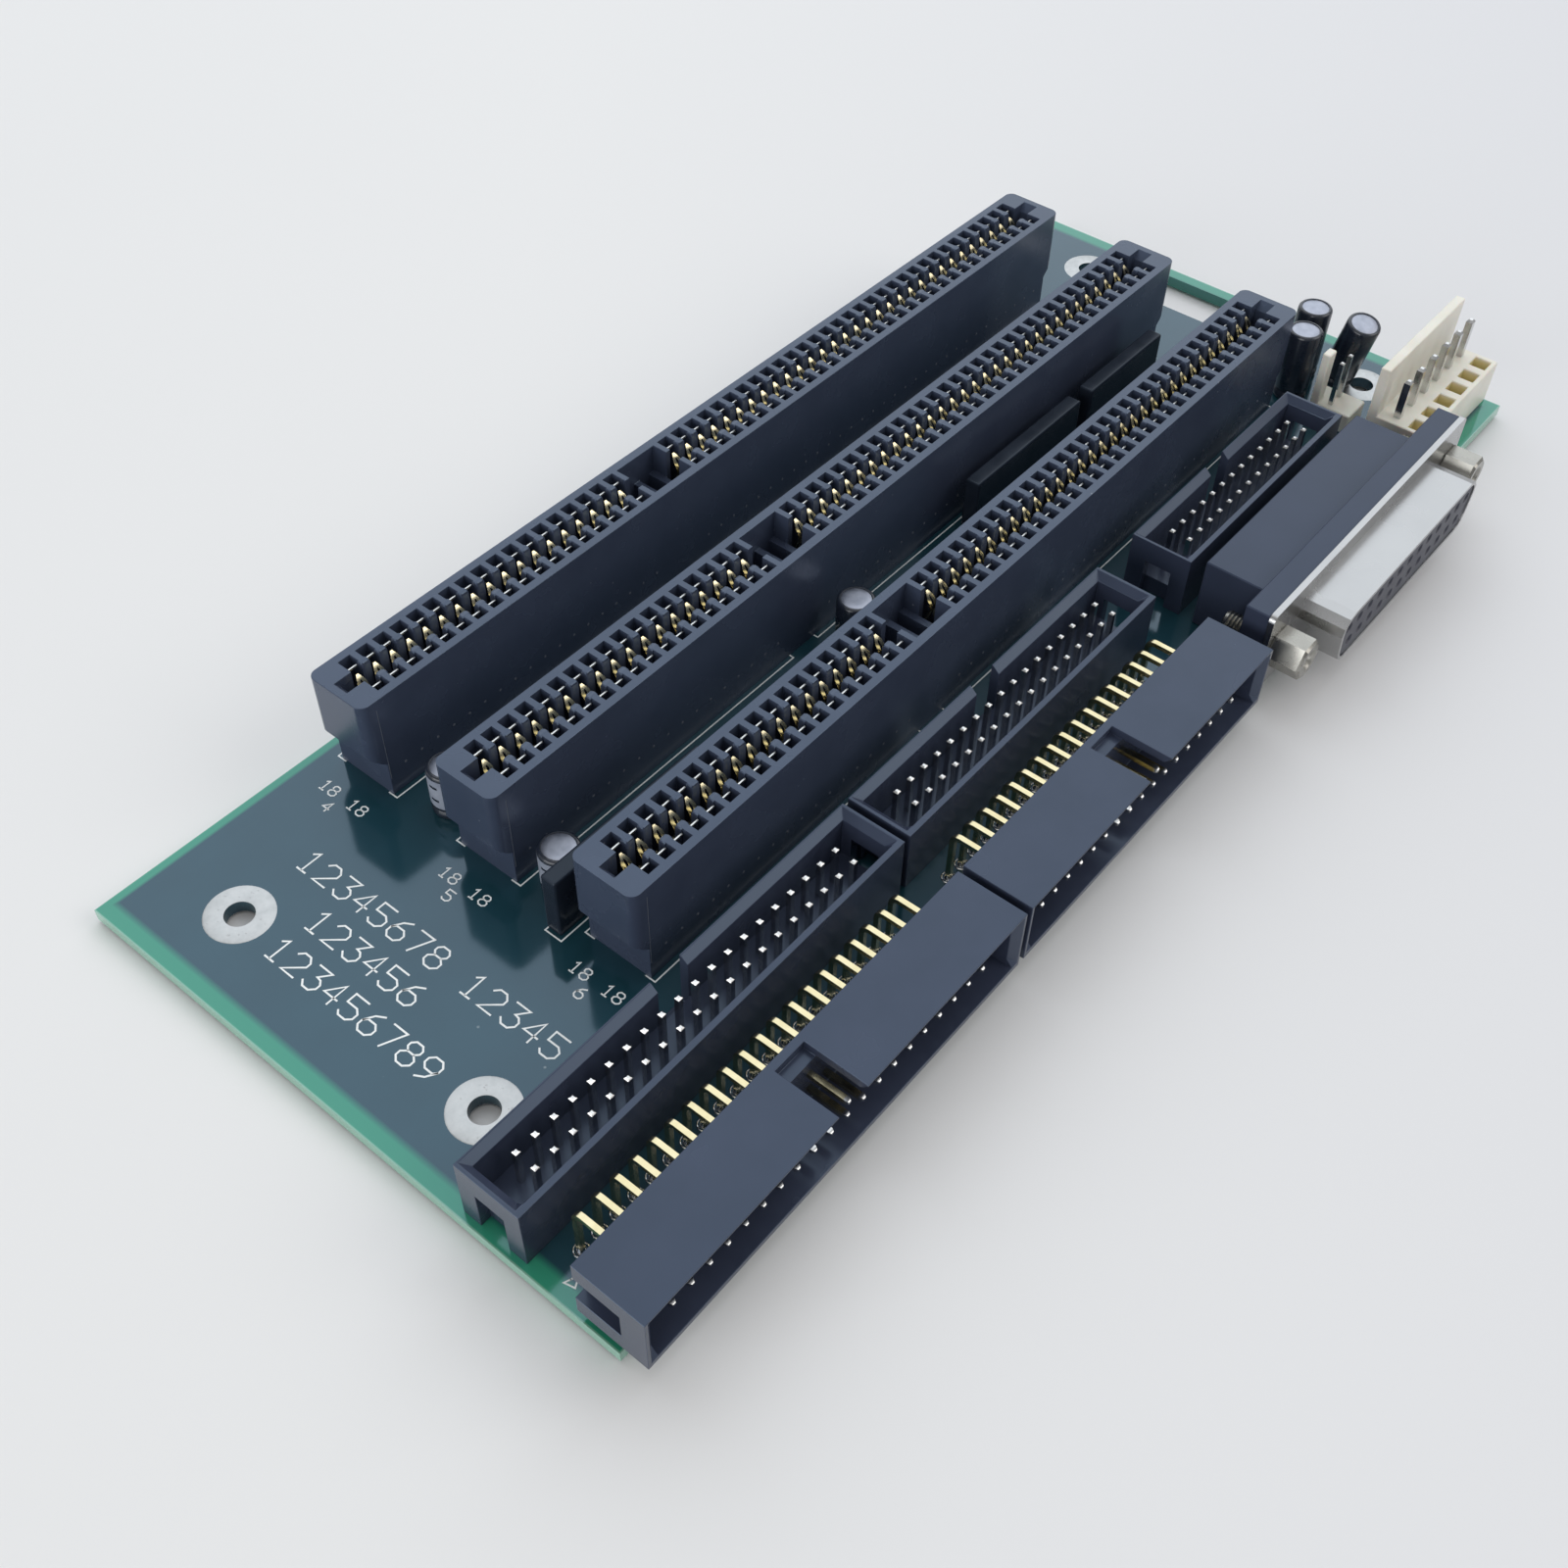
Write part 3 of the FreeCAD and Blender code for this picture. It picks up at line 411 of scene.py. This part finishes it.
# moulded blocks where the ribs meet the card gap, outlined in Y and Z
ribEnd = {"half": 0.6, "ease": 0.1, "middle": (0, 1.5, 14.6),
          "shape": ((1.04, 12.4), (1.95, 12.4), (1.95, 16.76), (1.8, 16.85), (1.4, 16.85), (1.2, 16.76),
                    (1.04, 16.45))}


def ribX():
    firsts = zip((spring["firstX"], spring["groupX"]), spring["counts"])
    return [first + spring["pitch"] * (i + 0.5) for first, count in firsts for i in range(count - 1)]


def ribBlock(bm, x, centre, facing):
    middle, ease, rings = Vector(ribEnd["middle"]), ribEnd["ease"], []
    for a, pull in ((-1, 1), (-1, 0), (1, 0), (1, 1)):  # eased ends
        at = x + a * (ribEnd["half"] - ease * (1 - pull))
        points = [Vector((0, y, z)) for y, z in ribEnd["shape"]]
        points = [p + (middle - p).normalized() * (ease * pull) for p in points]
        rings.append([Vector((at, centre + facing * p.y, p.z)) for p in points])
    loft(bm, rings)


for place, centre in spring["centres"].items():
    blocks = bmesh.new()
    for x in ribX():
        for facing in (1, -1):
            ribBlock(blocks, x, centre, facing)
    piece("slot_rib_ends_" + place, blocks, slotPlastic, (), 30)

# small raised dots along both walls and a thin ridge by the near corner, both in a lighter plastic as painted
# highlights
dot = {"wall": 4.5, "z": 5.3, "radius": 0.2, "proud": 0.07, "count": 10}
highlightLine = {"x": -62.1, "z": (4.2, 15.4), "shape": ((-0.06, 0.02), (0, -0.05), (0.06, 0.02))}
for place, centre in spring["centres"].items():
    dots = bmesh.new()
    for x in springX():
        for facing in (-1, 1):
            wall = Matrix.Translation((x, centre + facing * dot["wall"], dot["z"]))
            wall = wall @ Matrix.Rotation(-facing * math.pi / 2, 4, "X")
            turned(dots, [(dot["radius"], -0.03), (dot["radius"], 0.01), (dot["radius"] * 0.7, dot["proud"] * 0.75),
                          (dot["radius"] * 0.25, dot["proud"])], wall, dot["count"])
    line = [Vector((highlightLine["x"] + a, centre - dot["wall"] + b, 0)) for a, b in highlightLine["shape"]]
    loft(dots, [[p + up * z for p in line] for z in highlightLine["z"]])
    piece("slot_wall_dots_" + place, dots, paintedHighlightPlastic)
print("slot springs made")

# pin headers
header = {"starts": {"near": (-94.18, 20), "middle": (-34.82, 17), "far": (24.32, 13)}, "y": -18.475, "row": 1.27,
          "lead": 5.08, "pitch": 2.54, "half": 0.32, "foot": 4.1, "top": 9.6, "tip": 0.16}
for place, (start, count) in header["starts"].items():
    pins = bmesh.new()
    for i in range(count):
        for side in (-1, 1):
            at = Vector((start + header["lead"] + header["pitch"] * i, header["y"] + side * header["row"], 0))
            post(pins, at + up * header["foot"], at + up * header["top"], header["half"], header["tip"])
    piece("header_pins_" + place, pins, pinTin, ["straight_pins_" + place])

# bent pins with bright tips, solder fillets and rings
elbow = {"starts": {"near": (-94.92, 20), "far": (-35.56, 17)}, "rows": ((6.43, -28.175), (8.97, -25.635)),
         "lead": 5.08, "pitch": 2.54, "half": 0.32, "mouth": -37.75, "foot": 1.2, "bend": 0.9, "tip": 0.28,
         "tipFit": 0.01, "tipLap": 0.3, "boardTop": 1.6, "ring": (0.8, 0.1),
         "fillet": ((0.6, 1.58), (0.56, 1.66), (0.48, 1.8), (0.42, 2.0), (0.3, 2.3))}
for place, (start, count) in elbow["starts"].items():
    pins, joints, tips, beads = bmesh.new(), bmesh.new(), bmesh.new(), bmesh.new()
    radius, tube = elbow["ring"]
    bead = [(radius + tube * math.cos(t), elbow["boardTop"] + tube * math.sin(t))
            for t in (math.pi * i / 4 for i in range(8))]
    for i in range(count):
        x = start + elbow["lead"] + elbow["pitch"] * i
        for z, y in elbow["rows"]:
            route = [(y, elbow["foot"], up)]
            for step in range(5):
                t = math.pi / 2 * step / 4
                route.append((y - elbow["bend"] * (1 - math.cos(t)), z - elbow["bend"] * (1 - math.sin(t)),
                              up * math.cos(t) - deep * math.sin(t)))
            route.append((elbow["mouth"] + elbow["tip"], z, -deep))
            loft(pins, [squareRing(Vector((x, a, b)), right, line.cross(right), elbow["half"], elbow["half"])
                        for a, b, line in route])
            end = Vector((x, elbow["mouth"], z))
            post(tips, end + deep * (elbow["tip"] + elbow["tipLap"]), end, elbow["half"] + elbow["tipFit"],
                 elbow["tip"])
            turned(joints, elbow["fillet"], Matrix.Translation((x, y, 0)), 18)
            turned(beads, bead, Matrix.Translation((x, y, 0)), 24, True)
    piece("angled_header_pins_" + place, pins, paleGold, ["angled_pins_" + place])
    piece("angled_header_tips_" + place, tips, pinTin)
    piece("angled_header_rings_" + place, beads, pinTin)
    piece("angled_header_solder_" + place, joints, solder)
print("header pins made")

# D connector: socket face with its holes, and the jack screws
face = {"x": 44.36, "z": 7.87, "front": -43.325, "back": -36.7, "width": 38.4, "height": 7.9, "slant": 10.0,
        "corner": 2.4, "inset": 0.55, "rows": ((13, 1.42), (12, -1.42)), "pitch": 2.76, "hole": 0.62, "deep": 4.0,
        "holeEase": (0.14, 0.2), "tailY": -26.5, "tailRow": 2.84, "round": 16}


def dOutline(inset, steps=4):
    slant = math.radians(face["slant"])
    rise = face["height"] / 2 - face["corner"]
    mean = face["width"] / 2 - face["height"] / 2 * math.tan(slant) - face["corner"] / math.cos(slant)
    wide, narrow = mean + rise * math.tan(slant), mean - rise * math.tan(slant)
    radius, points = face["corner"] - inset, []
    for x, z, first, last in ((narrow, -rise, -90, -face["slant"]), (wide, rise, -face["slant"], 90),
                              (-wide, rise, 90, 180 + face["slant"]), (-narrow, -rise, 180 + face["slant"], 270)):
        for i in range(steps):
            t = math.radians(first + (last - first) * i / (steps - 1))
            points.append((x + radius * math.cos(t), z + radius * math.sin(t)))
    return points


socketFace = bmesh.new()
outer = [(face["x"] + a, face["z"] + b) for a, b in dOutline(face["inset"])]
front = [socketFace.verts.new((a, face["front"], b)) for a, b in outer]
rear = [socketFace.verts.new((a, face["back"], b)) for a, b in outer]
rims = [[socketFace.edges.new((front[i], front[(i + 1) % len(front)])) for i in range(len(front))]]
for i in range(len(front)):
    k = (i + 1) % len(front)
    socketFace.faces.new((front[i], front[k], rear[k], rear[i]))
socketFace.faces.new(rear)
for count, lift in face["rows"]:
    for i in range(count):
        centre = Vector((face["x"] + (i - (count - 1) / 2) * face["pitch"], face["front"], face["z"] + lift))
        wider, sunk = face["holeEase"]
        rings = [roundRing(centre + deep * d, right, up, r, face["round"])
                 for r, d in ((face["hole"] + wider, 0), (face["hole"], sunk), (face["hole"], face["deep"]))]
        loops = [[socketFace.verts.new(p) for p in ring] for ring in rings]
        turns = [(j, (j + 1) % face["round"]) for j in range(face["round"])]
        rims.append([socketFace.edges.new((loops[0][j], loops[0][k])) for j, k in turns])
        for a, b in zip(loops, loops[1:]):
            for j, k in turns:
                socketFace.faces.new((a[j], a[k], b[k], b[j]))
        socketFace.faces.new(loops[-1])
bmesh.ops.triangle_fill(socketFace, edges=[e for edgeHighlight in rims for e in edgeHighlight], use_beauty=True)
piece("dsub_socket_face", socketFace, greyPlastic, ["dsub_insert"], 30)

jack = {"x": (20.84, 67.88), "z": 7.87, "across": 4.8, "seat": -37.425, "mouth": -41.875, "bore": 1.2,
        "boreDeep": 3.6, "stud": 1.4, "studEnd": -30.175, "pitch": 0.5}
hexShare = [1 / math.cos((i % 4 - 2) * math.pi / 12) if i % 4 else 1 / math.cos(math.pi / 6) for i in range(24)]
screws = bmesh.new()
for x in jack["x"]:
    def ring(y, radius, hexagon):
        return [Vector((x + radius * (hexShare[i] if hexagon else 1) * math.cos(math.pi * i / 12), y,
                        jack["z"] + radius * (hexShare[i] if hexagon else 1) * math.sin(math.pi * i / 12)))
                for i in range(24)]
    flat, mouth = jack["across"] / 2, jack["mouth"]
    rings = [ring(mouth + jack["boreDeep"], jack["bore"] * 0.9, False)]
    y = mouth + jack["boreDeep"]
    while y > mouth + 0.7:  # bore thread
        rings += [ring(y - 0.15, jack["bore"], False), ring(y - 0.35, jack["bore"] * 0.88, False)]
        y -= jack["pitch"]
    rings += [ring(mouth + 0.3, jack["bore"], False), ring(mouth, jack["bore"] + 0.3, False),
              ring(mouth, flat - 0.1, False), ring(mouth + 0.35, flat, True),
              ring(jack["seat"] - 0.15, flat, True), ring(jack["seat"], flat - 0.1, True),
              ring(jack["seat"], jack["stud"] * 0.86, False)]
    y = jack["seat"] + 0.9
    while y < jack["studEnd"] - 0.5:  # stud thread
        rings += [ring(y, jack["stud"] * 0.84, False), ring(y + 0.25, jack["stud"], False)]
        y += jack["pitch"]
    rings += [ring(jack["studEnd"] - 0.2, jack["stud"] * 0.84, False),
              ring(jack["studEnd"], jack["stud"] * 0.6, False)]
    loft(screws, rings)
piece("jack_screws", screws, screwMetal, ["dsub_standoffs"], 15.5)
print("D connector made")

# power and lock header pins
power = {"firstX": 73.16, "pitch": 3.96, "count": 6, "y": -27.775, "foot": 7.6, "top": 14.1, "half": 0.5,
         "tip": 0.35}
lock = {"x": (74.67, 77.21), "y": -17.475, "foot": 4.2, "top": 11.6, "half": 0.32, "tip": 0.15}
pins = bmesh.new()
for i in range(power["count"]):
    at = Vector((power["firstX"] + power["pitch"] * i, power["y"], 0))
    post(pins, at + up * power["foot"], at + up * power["top"], power["half"], power["tip"])
piece("power_header_pins", pins, pinTin, ["power_pins"], 20)
pins = bmesh.new()
for x in lock["x"]:
    post(pins, Vector((x, lock["y"], lock["foot"])), Vector((x, lock["y"], lock["top"])), lock["half"], lock["tip"])
piece("lock_header_pins", pins, pinTin, ["lock_pins"])

# capacitors: crimped sleeve, plain metal top, pale stripe
can = {"radius": 2.5, "low": 7.0, "tall": 11.0, "leanTilt": 13.0, "leanHeading": -112.0, "boardTop": 1.6,
       "stripeTurn": 104.0, "stripeEnds": (1.9, 0.6), "markLevels": (0.42, 0.72), "markHalf": 0.22, "markHeight": 0.36,
       "cans": (("low", -59.3, 6.525, 182), ("low", -6.6, 6.525, 60), ("low", -58.9, 24.665, 182),
                ("tall", 83.45, -8.335, 20), ("tall", 77.3, -10.035, 60), ("lean", 84.7, -13.675, 30))}
sleeves, tops, stripes, marks = bmesh.new(), bmesh.new(), bmesh.new(), bmesh.new()
for kind, x, y, turn in can["cans"]:
    r, h = can["radius"], can["low"] if kind == "low" else can["tall"]
    spot = Matrix.Translation((x, y, can["boardTop"]))
    if kind == "lean":
        head, tilt = math.radians(can["leanHeading"]), math.radians(can["leanTilt"])
        spot = Matrix.Translation((x, y, can["boardTop"] + r * math.sin(tilt)))
        spot = spot @ Matrix.Rotation(tilt, 4, Vector((-math.sin(head), math.cos(head), 0)))
    spot = spot @ Matrix.Rotation(math.radians(turn), 4, "Z")
    profile = [(1.9, 0.05), (2.3, 0.05), (2.46, 0.25), (r, 0.5), (r, 1.0), (2.36, 1.2), (2.3, 1.4), (2.36, 1.6),
               (r, 1.8), (r, h - 0.5), (2.44, h - 0.24), (2.3, h - 0.07), (2.12, h), (2.0, h - 0.02), (1.98, h - 0.2)]
    turned(sleeves, profile, spot, 40)
    turned(tops, [(1.99, h - 0.4), (1.99, h - 0.14), (1.9, h - 0.09), (1.2, h - 0.07), (0.4, h - 0.06)], spot, 40)
    half = math.radians(can["stripeTurn"] / 2)
    arc = [-half + 2 * half * i / 12 for i in range(13)]
    outer = [(a, r + 0.012) for a in arc] + [(a, r - 0.02) for a in reversed(arc)]
    below, above = can["stripeEnds"]
    loft(stripes, [[spot @ Vector((d * math.cos(a), d * math.sin(a), z)) for a, d in outer]
                   for z in (below, h - above)])
    for level in can["markLevels"]:  # plain minus bars on the stripe
        arc = [-can["markHalf"] + 2 * can["markHalf"] * i / 4 for i in range(5)]
        bar = [(a, r + 0.03) for a in arc] + [(a, r - 0.01) for a in reversed(arc)]
        loft(marks, [[spot @ Vector((d * math.cos(a), d * math.sin(a), z)) for a, d in bar]
                     for z in (h * level, h * level + can["markHeight"])])
piece("can_marks", marks, sleeve, (), 30)
piece("can_sleeves", sleeves, sleeve, ["capacitors"], 50)
piece("can_tops", tops, canMetal)
piece("can_stripes", stripes, stripe, (), 30)
print("capacitors made")

# hole pads, both sides of the board
pad = {"holes": ((-85.1, 30.925), (-85.1, -7.575), (86.35, 30.925), (86.35, -17.275)), "bore": 1.75,
       "radius": 4.05, "specks": 16, "speckAt": (2.3, 3.8), "speckSize": (0.05, 0.14), "speckZ": 1.64}
pads = bmesh.new()
for x, y in pad["holes"]:
    for level, way in ((1.6, 1), (0.0, -1)):
        spot = Matrix.Translation((x, y, level))
        turned(pads, [(pad["bore"], -0.02 * way), (pad["bore"], 0.03 * way), (pad["bore"] + 0.12, 0.05 * way),
                      (pad["radius"] - 0.15, 0.05 * way), (pad["radius"], 0.0), (pad["radius"], -0.02 * way)],
               spot, 56, True)
    for i in range(pad["specks"]):  # solder specks
        t, d, size = rng.uniform(0, 6.28), rng.uniform(*pad["speckAt"]), rng.uniform(*pad["speckSize"])
        turned(pads, [(size, 0.0), (size * 0.8, 0.03), (size * 0.3, 0.05)],
               Matrix.Translation((x + d * math.cos(t), y + d * math.sin(t), pad["speckZ"])), 8)
piece("hole_pads", pads, padTin, (), 30)

# solder joints under the board
under = {"radius": 0.85, "drop": 0.42}
joints = bmesh.new()
feet = [(x, c + s * spring["tailRow"]) for c in spring["centres"].values() for x in springX() for s in (-1, 1)]
for start, count in header["starts"].values():
    feet += [(start + header["lead"] + header["pitch"] * i, header["y"] + s * header["row"])
             for i in range(count) for s in (-1, 1)]
for start, count in elbow["starts"].values():
    feet += [(start + elbow["lead"] + elbow["pitch"] * i, y) for i in range(count) for z, y in elbow["rows"]]
feet += [(power["firstX"] + power["pitch"] * i, power["y"]) for i in range(power["count"])]
feet += [(x, lock["y"]) for x in lock["x"]]
feet += [(face["x"] + (i - (n - 1) / 2) * face["pitch"], face["tailY"] - row * face["tailRow"])
         for row, (n, lift) in enumerate(face["rows"]) for i in range(n)]
for x, y in feet:
    turned(joints, [(under["radius"], 0.02), (under["radius"], -0.04), (under["radius"] * 0.72, -0.2),
                    (under["radius"] * 0.42, -under["drop"] + 0.04), (under["radius"] * 0.3, -under["drop"])],
           Matrix.Translation((x, y, 0)), 10)
piece("under_solder", joints, solder)
print("pads and joints made:", len(feet))

# white print: plain numbers and part outlines
ink = {"line": 0.22, "thin": 0.18, "low": 1.59, "high": 1.625, "advance": 0.98, "slotHeight": 1.5, "height": 3.0,
       "slotMarks": "654", "counts": (("12345678 12345", -76.7, 31.7), ("123456", -81.7, 24.4),
                                      ("123456789", -86.9, 24.8)),
       "runs": ((-62.4, -14.25), (-9.35, 72.4)), "runY": (3.75, 5.15, 5.15, 3.75),  # slot outlines, open at the key
       "lines": (((-64.2, 3.8), (-65.0, 3.8), (-65.0, 1.35), (-40.0, 1.35)),
                 ((-11.0, -8.4), (-10.1, -8.4), (-10.1, -9.4)),
                 ((-92.6, -27.0), (-93.3, -26.7), (-93.0, -27.9), (-91.9, -27.3), (-92.7, -26.95)),  # first pin
                 ((-91.9, -28.0), (-91.6, -26.6)))}
digits = {"1": [[(.1, .8), (.35, 1), (.35, 0)], [(.1, 0), (.6, 0)]],
          "2": [[(0, .8), (.2, 1), (.5, 1), (.7, .8), (.7, .6), (0, 0), (.7, 0)]],
          "3": [[(0, 1), (.7, 1), (.35, .58), (.55, .55), (.7, .4), (.7, .2), (.5, 0), (.2, 0), (0, .2)]],
          "4": [[(.5, 0), (.5, 1), (0, .35), (.7, .35)]],
          "5": [[(.7, 1), (0, 1), (0, .58), (.5, .58), (.7, .42), (.7, .18), (.5, 0), (.15, 0), (0, .15)]],
          "6": [[(.6, 1), (.25, .8), (0, .4), (0, .18), (.18, 0), (.52, 0), (.7, .18), (.7, .38), (.52, .55),
                 (.15, .55), (0, .4)]],
          "7": [[(0, 1), (.7, 1), (.25, 0)]],
          "8": [[(.2, .55), (.05, .7), (.05, .85), (.2, 1), (.5, 1), (.65, .85), (.65, .7), (.5, .55), (.2, .55),
                 (0, .38), (0, .18), (.2, 0), (.5, 0), (.7, .18), (.7, .38), (.5, .55)]],
          "9": [[(.1, 0), (.45, .2), (.7, .6), (.7, .82), (.52, 1), (.18, 1), (0, .82), (0, .62), (.18, .45),
                 (.55, .45), (.7, .6)]]}
prints = bmesh.new()


def ruled(points, width):
    ribbon(prints, [Vector((x, y, 0)) for x, y in points], width, ink["low"], ink["high"])


def number(text, x, y, height, width):  # reads along -Y, tops toward +X
    for i, mark in enumerate(text):
        for stroke in digits.get(mark, ()):
            ruled([(x + v * height, y - (u + i * ink["advance"]) * height) for u, v in stroke], width)


for c, mark in zip(spring["centres"].values(), ink["slotMarks"]):
    for text, x, y in (("18", -67.2, 3.2), ("18", -67.2, -1.6), (mark, -69.3, 0.5)):
        number(text, x, c + y, ink["slotHeight"], ink["thin"])
    for side in (-1, 1):
        for start, end in ink["runs"]:
            ruled([(x, c + side * y) for x, y in zip((start, start, end, end), ink["runY"])], ink["thin"])
for points in ink["lines"]:
    ruled(points, ink["thin"])
for text, x, y in ink["counts"]:
    number(text, x, y, ink["height"], ink["line"])
piece("board_print", prints, whitePrint)
print("print made")

# floor, lamps, world, camera
stageSet = {"floorSize": 3.0, "floorLow": -0.00046, "worldLevel": 0.36, "backdrop": 0.85,
            "worldColour": (0.98, 0.99, 1.0)}
# far: the floor colour toward the camera's right, painted shade
floorLook = {"dark": (0.78, 0.775, 0.77), "light": (0.80, 0.795, 0.79), "rough": (0.6, 0.75), "grainScale": 900,
             "patchScale": 6, "bump": 0.05, "far": (0.68, 0.68, 0.705), "heading": (0.64, 0.77), "fade": (-0.06, 0.2)}


def floorFinish(look):  # painted shade: a little darker toward the camera's right
    mat, tree, shader, place, plain = startFinish("pale_table", look)
    parts = addNode(tree, "ShaderNodeSeparateXYZ")
    feed(tree, parts.inputs[0], place)
    x, y, z = parts.outputs
    across = sums(tree, "SUBTRACT", sums(tree, "MULTIPLY", x, look["heading"][0]),
                  sums(tree, "MULTIPLY", y, look["heading"][1]))
    feed(tree, shader.inputs["Base Color"],
         blendColour(tree, spread(tree, across, 0.0, 1.0, *look["fade"]), plain, look["far"]))
    return mat


ground = bmesh.new()
bmesh.ops.create_grid(ground, x_segments=8, y_segments=8, size=stageSet["floorSize"] / mm)
bmesh.ops.translate(ground, vec=(0, 0, stageSet["floorLow"] / mm), verts=ground.verts)
bmesh.ops.scale(ground, vec=(mm, mm, mm), verts=ground.verts)
floorMesh = bpy.data.meshes.new("floor")
ground.to_mesh(floorMesh)
ground.free()
floorMesh.materials.append(floorFinish(floorLook))
floor = bpy.data.objects.new("floor", floorMesh)
bpy.context.scene.collection.objects.link(floor)

lamps = (  # name, place, aim, width, height, watts, colour
    ("farWindow", (0.74, 0.66, 1.02), (0, 0, 0), 2.3, 2.1, 18.0, (0.88, 0.94, 1.0)),
    ("nearSide", (-1.2, 0.05, 0.34), (0, 0, 0.01), 1.1, 0.6, 7.0, (0.96, 0.98, 1.0)),
    ("frontHigh", (0.62, -0.95, 0.85), (0, 0, 0), 1.1, 0.9, 6.0, (1.0, 0.98, 0.96)),
    ("overhead", (-0.35, -0.2, 1.5), (0, 0, 0), 1.0, 1.0, 2.0, (1.0, 0.98, 0.96)))
for name, spot, aim, width, height, watts, colour in lamps:
    data = bpy.data.lights.new(name, "AREA")
    data.shape = "RECTANGLE"
    data.size, data.size_y = width, height
    data.energy, data.color = watts, colour
    lamp = bpy.data.objects.new(name, data)
    lamp.location = spot
    lamp.rotation_mode = "QUATERNION"
    lamp.rotation_quaternion = (Vector(aim) - Vector(spot)).to_track_quat("-Z", "Y")
    lamp.visible_camera = False
    bpy.context.scene.collection.objects.link(lamp)

world = bpy.data.worlds.new("room")
bpy.context.scene.world = world
world.use_nodes = True
sky = world.node_tree.nodes["Background"]
sky.inputs["Color"].default_value = (*stageSet["worldColour"], 1)
path = world.node_tree.nodes.new("ShaderNodeLightPath")
level = world.node_tree.nodes.new("ShaderNodeMapRange")
level.inputs["To Min"].default_value = stageSet["worldLevel"]
level.inputs["To Max"].default_value = stageSet["backdrop"]
world.node_tree.links.new(path.outputs["Is Camera Ray"], level.inputs["Value"])
world.node_tree.links.new(level.outputs["Result"], sky.inputs["Strength"])

view = {"eye": (-138.789, -88.100, 154.655), "right": (0.63656884, -0.77107963, 0.01470778),
        "down": (-0.56799031, -0.4816374, -0.66739225), "forward": (0.52169639, 0.41648723, -0.74456112),
        "lens": 40.0, "sensor": 36.0, "clip": (0.01, 20)}
data = bpy.data.cameras.new("photo")
data.sensor_width = view["sensor"]
data.sensor_fit = "HORIZONTAL"
data.lens = view["lens"]
data.clip_start, data.clip_end = view["clip"]
camera = bpy.data.objects.new("photo", data)
turn = Matrix((view["right"], -Vector(view["down"]), -Vector(view["forward"]))).transposed().to_4x4()
camera.matrix_world = Matrix.Translation(Vector(view["eye"]) * mm) @ turn
bpy.context.scene.collection.objects.link(camera)
bpy.context.scene.camera = camera
bpy.context.scene.view_settings.view_transform = "Standard"
print("stage set")
